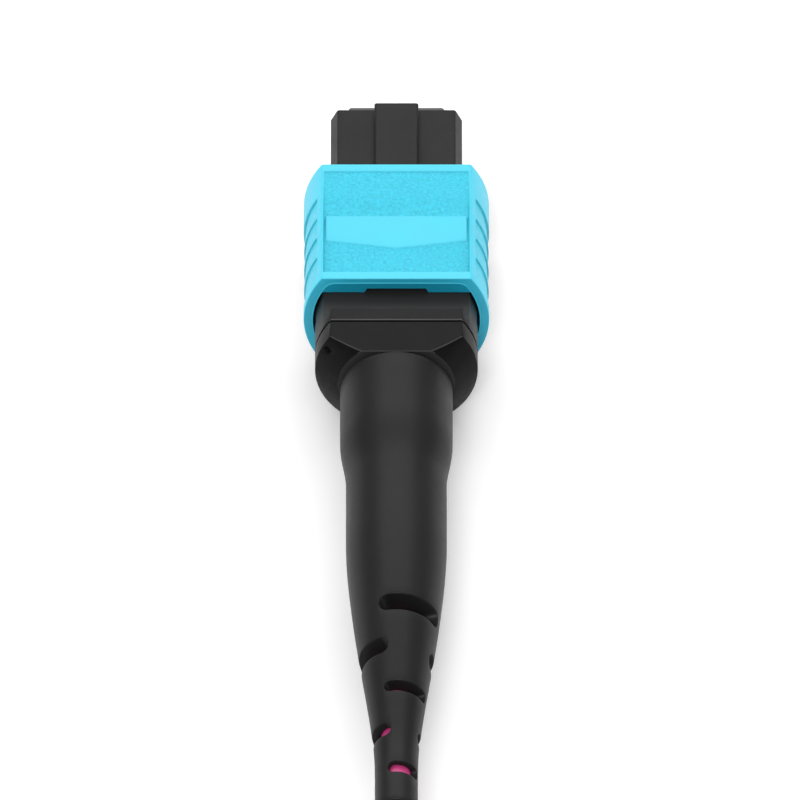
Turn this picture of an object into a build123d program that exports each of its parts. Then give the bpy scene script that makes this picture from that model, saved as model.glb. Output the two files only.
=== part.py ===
from build123d import *
import math
import os

# Twelve-fibre MPO connector, female, on a round 2 mm cable
# Millimetres. The origin is the middle of the ferrule's end face, +Y is the mating
# direction, +Z is the key side, and the cable leaves towards -Y.
# A depth is a distance behind the ferrule's end face, and a height is measured from the axis.

# Ferrule
ferrule_width = 6.4
ferrule_height = 2.5
ferrule_length = 8.0
ferrule_edge = 0.13
ferrule_shoulder_width = 7.1
ferrule_shoulder_height = 3.0
ferrule_shoulder_length = 2.0
ferrule_travel = 0.7
guide_hole_d = 0.70
guide_hole_spacing = 4.6
fibre_bore_length = 3.0
fibre_channel_height = 0.6
fill_window_front = 3.3
fill_window_length = 2.0
fill_window_width = 3.0

# Fibres
fibre_count = 12
fibre_pitch = 0.25
fibre_d = 0.125
coated_fibre_d = 0.20
bundle_rows = 3
bundle_pitch = 0.22
fan_depth = 12.6
fan_length = 3.0
gather_depth = 17.6
gather_length = 6.4
fibre_bend_radius = 10.0

# Rubber boot behind the ferrule
ferrule_boot_width = 3.5
ferrule_boot_height = 1.3
ferrule_boot_seat = 1.8
ferrule_boot_length = 4.2

# Pin clamp
clamp_width = 7.0
clamp_height = 2.9
clamp_length = 3.0
clamp_hole_d = 1.1
spring_guide_length = 0.8

# Main spring
main_wire_d = 0.40
main_spring_width = 6.0
main_spring_height = 2.8
main_spring_length = 8.8
main_spring_turns = 5
spring_corner_share = 0.97
closed_turn_pitch = 1.04
spring_guide_corner = 0.45

# Inner housing
ferrule_proud = 1.42
front_width = 8.8
front_height = 4.8
corner_inset = 0.45
corner_drop = 0.97
key_width = 2.95
key_height = 0.65
key_length = 8.2
key_edge = 0.11
shoulder_depth = 16.6
neck_radius = 5.43
collar_length = 1.05
collar_edge = 0.08
flange_top = 3.2
latch_recess_depth = 0.35
latch_recess_height = 2.5
latch_recess_front = 4.3
latch_recess_ramp = 1.4
latch_release_margin = 0.27
rail_length = 4.8
rail_thickness = 0.5
stop_height = 0.45
stop_length = 1.3
stop_width = 1.6
stop_inset = 2.3

# Coupler
coupler_front = 8.07
coupler_length = 10.88
coupler_width = 12.4
coupler_height = 7.7
flank_arc_radius = 6.7
coupler_top_wall = 0.70
coupler_side_wall = 0.62
coupler_edge = 0.06
rim_wall = 0.42
rim_side_wall = 0.64
rim_depth = 0.12
rim_corner_radius = 0.8
ledge_thickness = 0.93
ledge_notch_width = 3.9
ledge_notch_height = 0.4
end_band = 0.70
panel_width = 9.70
plate_margin = 0.12
plate_start = 4.85
plate_side_end = 7.00
plate_point_end = 7.72
plate_drop_front = 0.08
plate_drop_rear = 0.18
panel_drop_front = 0.06
panel_drop_middle = 0.12
panel_drop_plate = 0.30
panel_drop_rear = 0.36
panel_middle = 3.17
grip_count = 4
grip_pitch = 1.85
grip_depth = 0.12
grip_crest_drop = 0.03
grip_height = 6.6
coupler_travel = 1.8

# Coupler springs
coupler_wire_d = 0.18
coupler_spring_d = 0.94
coupler_spring_length = 5.4
coupler_spring_turns = 7
lug_length = 1.0

# Spring push, the rear body
spring_seat_length = 2.35
flange_bottom = 3.85
rim_length = 1.58
cone_length = 1.41
cone_end_radius = 3.93
boot_stop_length = 0.80
barrel_length = 6.5
barrel_radius = 2.1
barrel_bore_radius = 1.1
barrel_groove_count = 6
barrel_groove_depth = 0.12
arm_thickness = 0.65
arm_height = 1.9
arm_reach = 3.55
arm_gap = 0.36
hook_height = 1.5
hook_length = 1.0
hook_reach = 0.55
hook_setback = 0.40
fibre_slot_width = 3.2
fibre_slot_height = 1.2
gate_mark_d = 0.40
gate_mark_x = 4.57
gate_mark_height = 2.22

# Crimp ring and aramid yarn
yarn_thickness = 0.26
yarn_length = 6.2
yarn_turn_gap = 0.06
ring_wall = 0.50
ring_length = 7.0
ring_taper_length = 1.3
ring_tail_length = 3.9
ring_tail_wall = 0.58
ring_crimp_press = 0.16
ring_crimp_start = 0.78
ring_crimp_length = 2.54

# Boot
boot_front_gap = 0.52
boot_length = 39.33
boot_root_radius = 3.75
boot_root_length = 5.13
boot_waist_radius = 3.35
boot_waist_start = 8.93
boot_waist_end = 14.43
boot_tail_radius = 1.42
boot_tail_start = 37.0
boot_edge = 0.15
boot_knee_depth = 21.53
boot_knee_radius = 2.90
boot_taper_depth = 32.93
boot_taper_radius = 1.55
slot_count = 5
slot_first_depth = 22.43
slot_pitch = 3.475
slot_width_first = 1.35
slot_width_last = 1.00
slot_sweep = 102.0
slot_turn = 26.0

# Cable
cable_d = 2.0
cable_bore_d = 1.2
hank_x = 2.8
hank_y = -102.0
hank_run = 28.0
hank_fold_radius = 6.0
hank_pitch = 2.05
hank_columns = 2
hank_rows = 5
hank_waist_slant = 35.0
tie_width = 3.0
tie_thickness = 0.5
route_points = [
    (0, -69.99, 0),
    (-1.3, -75.4, -1.9),
    (-3.6, -80.4, -2.85),
    (-5.0, -85.4, -2.85),
]

# Fits
sliding_gap = 0.05
body_gap = 0.06
seat_gap = 0.02
push_on_gap = 0.03
neck_gap = 0.10
fibre_bore_gap = 0.0005
lug_gap = 0.10
boot_bore_gap = 0.05

# Depths and heights worked out from the sizes above
ferrule_shoulder_depth = ferrule_length - ferrule_shoulder_length
clamp_rear = ferrule_length + clamp_length
spring_seat_depth = clamp_rear + main_spring_length
cavity_width = ferrule_shoulder_width + 2 * body_gap
cavity_height = ferrule_shoulder_height + 2 * body_gap
arm_inner = cavity_width / 2
arm_outer = arm_inner + arm_thickness
arm_pocket_width = 2 * (arm_outer + sliding_gap)
coupler_rear = coupler_front + coupler_length
ledge_rear = coupler_rear - rim_depth
ledge_front = ledge_rear - ledge_thickness
plate_front = coupler_front + plate_start
plate_side_rear = coupler_front + plate_side_end
plate_point_rear = coupler_front + plate_point_end
lug_rear = shoulder_depth - coupler_spring_length
coupler_spring_x = front_width / 2 + sliding_gap + coupler_spring_d / 2
seam_depth = spring_seat_depth + spring_seat_length
rim_rear = seam_depth + rim_length
cone_rear = rim_rear + cone_length
boot_stop_rear = cone_rear + boot_stop_length
barrel_rear = boot_stop_rear + barrel_length
ring_inner_radius = barrel_radius + seat_gap + yarn_thickness + seat_gap
ring_outer_radius = ring_inner_radius + ring_wall
ring_front = boot_stop_rear + seat_gap
ring_body_rear = ring_front + ring_length
jacket_front = ring_body_rear + ring_taper_length
ring_rear = jacket_front + ring_tail_length
ring_tail_inner = cable_d / 2 + push_on_gap
ring_tail_outer = ring_tail_inner + ring_tail_wall
boot_front = cone_rear + boot_front_gap
boot_rear = boot_front + boot_length

# The fibres' free ends stay inside the jacket while the ferrule moves
fibre_end_depth = boot_rear - ferrule_travel - coated_fibre_d

# The connector's axis, as a plane with depth along local X and height along local Y
AXIAL = Plane(origin=(0, 0, 0), x_dir=(0, -1, 0), z_dir=(-1, 0, 0))


def station(depth):
    """Plane across the connector at a depth, with X and Z as its own directions."""
    return Plane(origin=(0, -depth, 0), x_dir=(1, 0, 0), z_dir=(0, -1, 0))


def prism(section, front, rear):
    """Cross-section carried straight from one depth to another."""
    return extrude(station(front) * section, amount=rear - front, dir=(0, -1, 0))


def turned(points):
    """Outline of (depth, radius) points revolved about the connector's axis."""
    return revolve(AXIAL * make_face(Polyline(*points, close=True)), Axis.Y)


def side_profile(points, width):
    """Outline of (depth, height) points carried sideways, centred on the axis."""
    return extrude(AXIAL * make_face(Polyline(*points, close=True)), amount=width / 2, both=True)


def block(x_low, x_high, front, rear, z_low, z_high):
    """Straight block between two sides, two depths and two heights."""
    section = Pos((x_low + x_high) / 2, (z_low + z_high) / 2) * Rectangle(x_high - x_low, z_high - z_low)
    return prism(section, front, rear)


def both_sides(part):
    """A piece of the right side with its mirror image on the left."""
    return part + mirror(part, Plane.YZ)


def top_and_bottom(part):
    """A feature of the top with its mirror image underneath."""
    return part + mirror(part, Plane.XY)


def save(part, name):
    """Write one piece to its own file."""
    export_step(part, os.path.join("parts", name + ".step"))


def fibre_rows():
    """X positions of the fibres in the ferrule's row."""
    first = -(fibre_count - 1) / 2 * fibre_pitch
    return [first + index * fibre_pitch for index in range(fibre_count)]


def bundle_places():
    """Places in the gathered bundle, a grid of short columns, in the order of the fibres."""
    columns = math.ceil(fibre_count / bundle_rows)
    places = []
    for index in range(fibre_count):
        column, row = divmod(index, bundle_rows)
        x = (column - (columns - 1) / 2) * bundle_pitch
        z = (row - (bundle_rows - 1) / 2) * bundle_pitch
        places.append((x, z))
    return places


def make_ferrule():
    """Moulded ferrule with a shoulder, two guide holes and a row of fibre bores."""
    nose = prism(Rectangle(ferrule_width, ferrule_height), 0, ferrule_length)
    nose = chamfer(nose.edges().filter_by(Axis.Y), ferrule_edge)
    nose = chamfer(nose.faces().sort_by(Axis.Y)[-1].edges(), ferrule_edge / 2)
    shoulder = prism(
        RectangleRounded(ferrule_shoulder_width, ferrule_shoulder_height, ferrule_edge * 2),
        ferrule_shoulder_depth,
        ferrule_length,
    )
    body = nose + shoulder
    guide_hole = Circle(guide_hole_d / 2)
    cuts = [
        prism(Pos(side * guide_hole_spacing / 2, 0) * guide_hole, 0, ferrule_length) for side in (-1, 1)
    ]
    bore = Circle(fibre_d / 2 + fibre_bore_gap)
    cuts += [prism(Pos(x, 0) * bore, 0, fibre_bore_length) for x in fibre_rows()]
    channel_width = fibre_count * fibre_pitch + 2 * sliding_gap
    boot_seat_front = ferrule_length - ferrule_boot_seat - sliding_gap
    cuts.append(prism(Rectangle(channel_width, fibre_channel_height), fibre_bore_length, boot_seat_front))
    boot_seat = Rectangle(ferrule_boot_width + 2 * sliding_gap, ferrule_boot_height + 2 * sliding_gap)
    cuts.append(prism(boot_seat, boot_seat_front, ferrule_length))
    window_rear = fill_window_front + fill_window_length
    half = fill_window_width / 2
    cuts.append(block(-half, half, fill_window_front, window_rear, 0, ferrule_height))
    for cut in cuts:
        body -= cut
    return body


def make_ferrule_boot():
    """Rubber sleeve that guides the fibre row into the ferrule."""
    front = ferrule_length - ferrule_boot_seat
    sleeve = prism(
        RectangleRounded(ferrule_boot_width, ferrule_boot_height, ferrule_boot_height / 4),
        front,
        front + ferrule_boot_length,
    )
    row_width = (fibre_count - 1) * fibre_pitch + coated_fibre_d + 2 * sliding_gap
    return sleeve - prism(
        Rectangle(row_width, coated_fibre_d + 2 * sliding_gap), front, front + ferrule_boot_length
    )


def spring_guide_section():
    """Cross-section of the bosses that hold the main spring's two ends."""
    width = main_spring_width - 2 * main_wire_d - 4 * sliding_gap
    height = main_spring_height - 2 * main_wire_d - 4 * sliding_gap
    return RectangleRounded(width, height, height * spring_guide_corner)


def make_pin_clamp():
    """Clamp behind the ferrule, with its two pin holes left empty."""
    body = prism(RectangleRounded(clamp_width, clamp_height, ferrule_edge * 2), ferrule_length, clamp_rear)
    body += prism(spring_guide_section(), clamp_rear, clamp_rear + spring_guide_length)
    window = Rectangle(ferrule_boot_width + 2 * sliding_gap, ferrule_boot_height + 2 * sliding_gap)
    body -= prism(window, ferrule_length, clamp_rear + spring_guide_length)
    pin_hole = Circle(clamp_hole_d / 2)
    for side in (-1, 1):
        body -= prism(Pos(side * guide_hole_spacing / 2, 0) * pin_hole, ferrule_length, clamp_rear)
    return body


def make_fibre(row_x, place):
    """One fibre: bare glass in the ferrule, coated behind it, then fanned up or down and gathered."""
    x, z = place
    start = fibre_bore_length + fibre_d
    glass = prism(Pos(row_x, 0) * Circle(fibre_d / 2), 0, start)
    points = [(row_x, -start, 0)]
    if abs(z) > coated_fibre_d / 2:
        points += [(row_x, -fan_depth, 0), (row_x, -fan_depth - fan_length, z)]
    points += [
        (row_x, -gather_depth, z),
        (x, -gather_depth - gather_length, z),
        (x, -fibre_end_depth, z),
    ]
    path = FilletPolyline(*points, radius=fibre_bend_radius)
    coated = sweep(Pos(row_x, 0, 0) * station(start) * Circle(coated_fibre_d / 2), path=path)
    return glass + coated


def make_spring(width, height, wire_d, length, turns, corner_radius):
    """Compression spring along Y with closed end turns, as a rising ring of rounded corners.

    Its front end is at the origin and it runs towards -Y.
    """
    closed_rise = wire_d * closed_turn_pitch
    active_rise = (length - wire_d - 2 * closed_rise) / turns
    rises = [closed_rise] + [active_rise] * turns + [closed_rise]
    half_x = (width - wire_d) / 2
    half_z = (height - wire_d) / 2
    corners = [(half_x, half_z), (half_x, -half_z), (-half_x, -half_z), (-half_x, half_z)]
    depth = wire_d / 2
    points = [(0, -depth, half_z)]
    for rise in rises:
        for index, (x, z) in enumerate(corners):
            points.append((x, -(depth + rise * (2 * index + 1) / 8), z))
        depth += rise
    points.append((0, -depth, half_z))
    path = FilletPolyline(*points, radius=corner_radius)
    start = path @ 0
    wire = Plane(origin=start, z_dir=path % 0) * Circle(wire_d / 2)
    return sweep(wire, path=path)


def make_main_spring():
    """Oval spring that presses the ferrule forward."""
    radius = (main_spring_height - main_wire_d) / 2 * spring_corner_share
    spring = make_spring(
        main_spring_width,
        main_spring_height,
        main_wire_d,
        main_spring_length,
        main_spring_turns,
        radius,
    )
    return Pos(0, -clamp_rear, 0) * spring


def make_coupler_spring(side):
    """Small round spring in one of the housing's side channels."""
    radius = (coupler_spring_d - coupler_wire_d) / 2 * spring_corner_share
    spring = make_spring(
        coupler_spring_d,
        coupler_spring_d,
        coupler_wire_d,
        coupler_spring_length,
        coupler_spring_turns,
        radius,
    )
    return Pos(side * coupler_spring_x, -lug_rear, 0) * spring


def front_section():
    """Outline of the housing's front, a flat rectangle with broken corners."""
    x = front_width / 2
    z = front_height / 2
    points = [
        (x - corner_inset, z),
        (x, z - corner_drop),
        (x, corner_drop - z),
        (x - corner_inset, -z),
        (corner_inset - x, -z),
        (-x, corner_drop - z),
        (-x, z - corner_drop),
        (corner_inset - x, z),
    ]
    outline = Polygon(*points, align=None)
    return fillet(outline.vertices(), corner_inset / 2)


def neck_section():
    """Outline of the neck that the coupler slides on."""
    return Circle(neck_radius) & Rectangle(2 * neck_radius + 1, front_height)


def flange_section(radius):
    """Round outline with a flat on top and a flat that rests on the table."""
    slab = Rectangle(2 * radius + 1, flange_top + flange_bottom)
    return Circle(radius) & Pos(0, (flange_top - flange_bottom) / 2) * slab


def make_inner_housing():
    """Black housing with its key, spring channels, coupler stops and hook windows."""
    top = front_height / 2
    body = prism(front_section(), ferrule_proud, shoulder_depth)
    body += prism(neck_section(), shoulder_depth, seam_depth)
    collar = prism(flange_section(neck_radius), seam_depth - collar_length, seam_depth)
    rear_rim = collar.faces().sort_by(Axis.Y)[0].edges()
    body += chamfer(rear_rim, collar_edge)
    key = block(-key_width / 2, key_width / 2, ferrule_proud, ferrule_proud + key_length, 0, top + key_height)
    body += chamfer(key.edges().filter_by(Axis.Y).sort_by(Axis.Z)[-2:], key_edge)
    rail_low = coupler_spring_d / 2 + sliding_gap * 2
    rail = block(
        front_width / 2 - seat_gap,
        coupler_spring_x + coupler_spring_d / 2 - sliding_gap * 3,
        shoulder_depth - rail_length,
        shoulder_depth,
        rail_low,
        rail_low + rail_thickness,
    )
    body += both_sides(top_and_bottom(rail))
    stop_rear = ledge_front - seat_gap
    stop = side_profile(
        [
            (stop_rear - stop_length, top - seat_gap),
            (stop_rear - stop_length / 4, top + stop_height),
            (stop_rear, top + stop_height),
            (stop_rear, top - seat_gap),
        ],
        stop_width,
    )
    stop = Pos(stop_inset + stop_width / 2, 0, 0) * stop
    body += both_sides(top_and_bottom(stop))
    cuts = [
        prism(
            Rectangle(ferrule_width + 2 * sliding_gap, ferrule_height + 2 * sliding_gap),
            ferrule_proud,
            ferrule_shoulder_depth,
        ),
        prism(Rectangle(cavity_width, cavity_height), ferrule_shoulder_depth - seat_gap, seam_depth),
        prism(
            Rectangle(arm_pocket_width, arm_height + 2 * sliding_gap),
            seam_depth - arm_reach - sliding_gap,
            seam_depth,
        ),
    ]
    window_front = seam_depth - arm_reach + hook_setback - sliding_gap
    cuts.append(
        block(
            -neck_radius,
            neck_radius,
            window_front,
            window_front + hook_length + 2 * sliding_gap,
            -hook_height / 2 - sliding_gap,
            hook_height / 2 + sliding_gap,
        )
    )
    recess_rear = coupler_front + coupler_travel - latch_release_margin
    recess_x = front_width / 2 - latch_recess_depth
    recess = extrude(
        Plane.XY
        * make_face(
            Polyline(
                (recess_x, -latch_recess_front),
                (front_width / 2 + 1, -latch_recess_front),
                (front_width / 2 + 1, -recess_rear),
                (front_width / 2, -recess_rear),
                (recess_x, -recess_rear + latch_recess_ramp),
                close=True,
            )
        ),
        amount=latch_recess_height / 2,
        both=True,
    )
    cuts.append(both_sides(recess))
    for cut in cuts:
        body -= cut
    return body


def coupler_section(inset_top, inset_side):
    """Outline of the coupler, flat on top and bottom with round flanks.

    The insets move the top and the round flanks inwards.
    """
    top = coupler_height / 2 - inset_top
    side = coupler_width / 2 - inset_side
    radius = flank_arc_radius - inset_side
    corner = side - radius + math.sqrt(radius**2 - top**2)
    edges = [
        Line((-corner, top), (corner, top)),
        ThreePointArc((corner, top), (side, 0), (corner, -top)),
        Line((corner, -top), (-corner, -top)),
        ThreePointArc((-corner, -top), (-side, 0), (-corner, top)),
    ]
    return make_face(edges)


def coupler_panel():
    """Recess in the coupler's top that dips towards the rear band."""
    top = coupler_height / 2
    rear = coupler_rear - end_band
    points = [
        (coupler_front + end_band, top + 1),
        (coupler_front + end_band, top - panel_drop_front),
        (coupler_front + panel_middle, top - panel_drop_middle),
        (plate_front, top - panel_drop_plate),
        (rear, top - panel_drop_rear),
        (rear, top + 1),
    ]
    return side_profile(points, panel_width)


def coupler_plate():
    """Raised plate in the recess, with a shallow V for its rear edge."""
    top = coupler_height / 2
    slab = side_profile(
        [
            (plate_front, top - panel_drop_rear - seat_gap),
            (plate_front, top - plate_drop_front),
            (plate_point_rear, top - plate_drop_rear),
            (plate_point_rear, top - panel_drop_rear - seat_gap),
        ],
        panel_width - 2 * plate_margin,
    )
    half = panel_width / 2
    outline = Polyline(
        (-half, -plate_front),
        (half, -plate_front),
        (half, -plate_side_rear),
        (0, -plate_point_rear),
        (-half, -plate_side_rear),
        close=True,
    )
    return slab & extrude(Plane.XY * make_face(outline), amount=coupler_height)


def coupler_grip():
    """Waste cut from the right flank, which leaves teeth that drop towards the rear."""
    tilt = math.degrees(math.atan2(grip_depth, grip_pitch))
    blank = prism(coupler_section(0, 0), -coupler_length, coupler_length)
    cuts = []
    for index in range(grip_count):
        rear = coupler_rear - end_band - seat_gap - index * grip_pitch
        front = rear - grip_pitch
        zone = block(panel_width / 2, coupler_width, front, rear, -grip_height / 2, grip_height / 2)
        crest = Pos(coupler_width / 2 - grip_crest_drop, -rear, 0)
        hinge = crest * Rot(0, 0, tilt) * Pos(-coupler_width / 2, 0, 0)
        cuts.append(zone - hinge * blank)
    return cuts


def make_coupler():
    """Sliding outer housing with finger panels, side grips, a rear ledge and spring lugs."""
    body = prism(coupler_section(0, 0), coupler_front, coupler_rear)
    ends = body.faces().sort_by(Axis.Y)
    body = chamfer(ends[0].edges() + ends[-1].edges(), coupler_edge)
    body -= prism(coupler_section(coupler_top_wall, coupler_side_wall), coupler_front, ledge_front)
    opening = Circle(neck_radius + neck_gap) & Rectangle(
        coupler_width, front_height + 2 * sliding_gap
    )
    body -= prism(opening, ledge_front, coupler_rear)
    notch_rise = front_height / 2 + ledge_notch_height
    notch = Polygon(
        (-ledge_notch_width / 2 - ledge_notch_height / 2, 0),
        (ledge_notch_width / 2 + ledge_notch_height / 2, 0),
        (ledge_notch_width / 2 + ledge_notch_height / 2, front_height / 2),
        (ledge_notch_width / 2, notch_rise),
        (-ledge_notch_width / 2, notch_rise),
        (-ledge_notch_width / 2 - ledge_notch_height / 2, front_height / 2),
        align=None,
    )
    body -= prism(notch, ledge_front, coupler_rear)
    rim_pocket = coupler_section(rim_wall, rim_side_wall)
    rim_pocket = fillet(rim_pocket.vertices(), rim_corner_radius)
    body -= prism(rim_pocket, ledge_rear, coupler_rear)
    body -= top_and_bottom(coupler_panel())
    body += top_and_bottom(coupler_plate())
    for cut in coupler_grip():
        body -= cut
        body -= mirror(cut, Plane.YZ)
    lug_half = coupler_spring_d / 2 + sliding_gap * 2 - lug_gap
    lug = block(
        front_width / 2 + lug_gap,
        coupler_width / 2 - coupler_side_wall / 2,
        lug_rear - lug_length,
        lug_rear,
        -lug_half,
        lug_half,
    )
    return body + both_sides(lug)


def make_spring_push():
    """Rear body: hooked arms, spring seat, flange and the barrel that the yarn is crimped on."""
    body = turned(
        [
            (seam_depth, 0),
            (seam_depth, neck_radius),
            (rim_rear, neck_radius),
            (cone_rear, cone_end_radius),
            (cone_rear, 0),
        ]
    )
    body &= prism(flange_section(neck_radius), seam_depth, cone_rear)
    body += turned(
        [
            (cone_rear, 0),
            (cone_rear, ring_outer_radius),
            (boot_stop_rear, ring_outer_radius),
            (boot_stop_rear, barrel_radius),
            (barrel_rear, barrel_radius),
            (barrel_rear, 0),
        ]
    )
    groove_pitch = (barrel_rear - boot_stop_rear) / (barrel_groove_count + 1)
    for index in range(barrel_groove_count):
        depth = boot_stop_rear + groove_pitch * (index + 1)
        body -= turned(
            [
                (depth - barrel_groove_depth, barrel_radius + 1),
                (depth - barrel_groove_depth, barrel_radius),
                (depth, barrel_radius - barrel_groove_depth),
                (depth + barrel_groove_depth, barrel_radius),
                (depth + barrel_groove_depth, barrel_radius + 1),
            ]
        )
    seat_width = 2 * (arm_inner - arm_gap)
    body += prism(
        RectangleRounded(seat_width, cavity_height - 2 * sliding_gap, ferrule_edge * 2),
        spring_seat_depth,
        seam_depth,
    )
    body += prism(spring_guide_section(), spring_seat_depth - spring_guide_length, spring_seat_depth)
    arm_front = seam_depth - arm_reach
    arm = block(arm_inner, arm_outer, arm_front, seam_depth, -arm_height / 2, arm_height / 2)
    hook_front = arm_front + hook_setback
    hook = extrude(
        Plane.XY
        * make_face(
            Polyline(
                (arm_inner, -hook_front),
                (arm_outer, -hook_front),
                (arm_outer + hook_reach, -hook_front - hook_length / 2),
                (arm_outer + hook_reach, -hook_front - hook_length),
                (arm_inner, -hook_front - hook_length),
                close=True,
            )
        ),
        amount=hook_height / 2,
        both=True,
    )
    body += both_sides(arm + hook)
    slot = RectangleRounded(fibre_slot_width, fibre_slot_height, fibre_slot_height * spring_guide_corner)
    body -= prism(slot, spring_seat_depth - spring_guide_length, seam_depth)
    funnel = loft([station(seam_depth) * slot, station(cone_rear) * Circle(barrel_bore_radius)])
    body -= funnel
    body -= prism(Circle(barrel_bore_radius), cone_rear, barrel_rear)
    mark_radius = math.hypot(gate_mark_x, gate_mark_height)
    mark_depth = rim_rear + cone_length * (neck_radius - mark_radius) / (neck_radius - cone_end_radius)
    mark = prism(Circle(gate_mark_d / 2), mark_depth - gate_mark_d / 2, mark_depth + gate_mark_d)
    return body - Pos(-gate_mark_x, 0, gate_mark_height) * mark


def make_aramid_yarn():
    """Yarn folded forward over the barrel, from the end of the cable's jacket."""
    inner = barrel_radius + seat_gap
    outer = inner + yarn_thickness
    front = boot_stop_rear + push_on_gap
    flare = barrel_rear + yarn_turn_gap
    return turned(
        [
            (front, inner),
            (front, outer),
            (front + yarn_length, outer),
            (jacket_front, cable_d / 2 - seat_gap),
            (jacket_front, cable_bore_d / 2 + seat_gap),
            (flare, inner),
        ]
    )


def make_crimp_ring():
    """Metal ring with a wide body over the yarn and a tail crimped to six flats on the jacket."""
    body = turned(
        [
            (ring_front, ring_inner_radius),
            (ring_front, ring_outer_radius),
            (ring_body_rear, ring_outer_radius),
            (jacket_front, ring_tail_outer),
            (ring_rear, ring_tail_outer),
            (ring_rear, ring_tail_inner),
            (jacket_front + seat_gap, ring_tail_inner),
            (ring_body_rear - ring_wall / 2, ring_inner_radius),
        ]
    )
    flats = Circle(ring_outer_radius) - RegularPolygon(
        ring_tail_outer - ring_crimp_press, 6, major_radius=False
    )
    crimp_front = jacket_front + ring_crimp_start
    return body - prism(flats, crimp_front, crimp_front + ring_crimp_length)


def boot_slots():
    """Waste of the boot's slots, two to a ring, each ring a quarter turn from the last."""
    cuts = []
    for index in range(slot_count):
        share = index / (slot_count - 1)
        width = slot_width_first + (slot_width_last - slot_width_first) * share
        depth = boot_front + slot_first_depth + index * slot_pitch
        for half_turn in (0, 180):
            middle = slot_turn + 90 * (index % 2) + half_turn
            wedge = revolve(
                AXIAL
                * make_face(
                    Polyline(
                        (depth - width / 2, cable_d / 4),
                        (depth - width / 2, boot_root_radius),
                        (depth + width / 2, boot_root_radius),
                        (depth + width / 2, cable_d / 4),
                        close=True,
                    )
                ),
                Axis.Y,
                slot_sweep,
            )
            end = Pos(0, -depth, 0) * Cylinder(
                width / 2, boot_root_radius, align=(Align.CENTER, Align.CENTER, Align.MIN)
            )
            wedge += end
            wedge += Rot(0, slot_sweep, 0) * end
            cuts.append(Rot(0, middle - slot_sweep / 2, 0) * wedge)
    return cuts


def make_boot():
    """Tapered strain relief with slots that let it bend."""
    outline = Polyline((boot_front, 0), (boot_front, boot_root_radius - boot_edge))
    outline += Line(
        (boot_front, boot_root_radius - boot_edge), (boot_front + boot_edge, boot_root_radius)
    )
    outline += Line(
        (boot_front + boot_edge, boot_root_radius), (boot_front + boot_root_length, boot_root_radius)
    )
    outline += Spline(
        (boot_front + boot_root_length, boot_root_radius),
        (boot_front + boot_waist_start, boot_waist_radius),
        tangents=[(1, 0), (1, 0)],
    )
    outline += Line(
        (boot_front + boot_waist_start, boot_waist_radius),
        (boot_front + boot_waist_end, boot_waist_radius),
    )
    outline += Spline(
        (boot_front + boot_waist_end, boot_waist_radius),
        (boot_front + boot_knee_depth, boot_knee_radius),
        (boot_front + boot_taper_depth, boot_taper_radius),
        (boot_front + boot_tail_start, boot_tail_radius),
        tangents=[(1, 0), (1, 0)],
    )
    outline += Polyline(
        (boot_front + boot_tail_start, boot_tail_radius),
        (boot_rear - boot_edge, boot_tail_radius),
        (boot_rear, boot_tail_radius - boot_edge),
        (boot_rear, 0),
        (boot_front, 0),
    )
    body = revolve(AXIAL * make_face(outline), Axis.Y)
    body_bore = ring_outer_radius + push_on_gap
    tail_bore = ring_tail_outer + push_on_gap
    cable_bore = cable_d / 2 + boot_bore_gap
    body -= turned(
        [
            (boot_front, 0),
            (boot_front, body_bore),
            (ring_body_rear + push_on_gap, body_bore),
            (jacket_front + push_on_gap, tail_bore),
            (ring_rear + push_on_gap, tail_bore),
            (ring_rear + tail_bore, cable_bore),
            (boot_rear, cable_bore),
            (boot_rear, 0),
        ]
    )
    for cut in boot_slots():
        body -= cut
    return body


def make_cable_jacket():
    """Jacket of the cable from the crimp to the end of the boot."""
    jacket = Circle(cable_d / 2) - Circle(cable_bore_d / 2)
    return prism(jacket, jacket_front, boot_rear)


def cable_route():
    """Points of the free cable, from the boot's end down to the hank on the table."""
    return [(0, -boot_rear, 0), *route_points]


def arc_radii(points):
    """Radius of the arc at each corner of a route, as wide as its two runs allow."""
    radii = []
    for before, corner, after in zip(points, points[1:], points[2:]):
        run_in = Vector(*corner) - Vector(*before)
        run_out = Vector(*after) - Vector(*corner)
        turn = math.radians(run_in.get_angle(run_out))
        radii.append(0.45 * min(run_in.length, run_out.length) / math.tan(turn / 2))
    return radii


def make_cable_free():
    """The cable's free stretch, as straight runs joined by tangent arcs."""
    points = cable_route()
    radii = arc_radii(points)
    print("cable arc radii", [round(radius, 1) for radius in radii])
    path = FilletPolyline(*points, radius=radii)
    tube = sweep(station(boot_rear) * Circle(cable_d / 2), path=path)
    expected = path.length * math.pi * cable_d**2 / 4
    print("cable tube volume", round(tube.volume, 2), "expected", round(expected, 2))
    return tube


def hank_waist_section(growth, height):
    """Section across the hank's tied waist, or across the tie round it."""
    width = 2 * hank_columns * hank_pitch + 2 * growth
    return RectangleRounded(width, height + 2 * growth, cable_d / 4 + growth)


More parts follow.
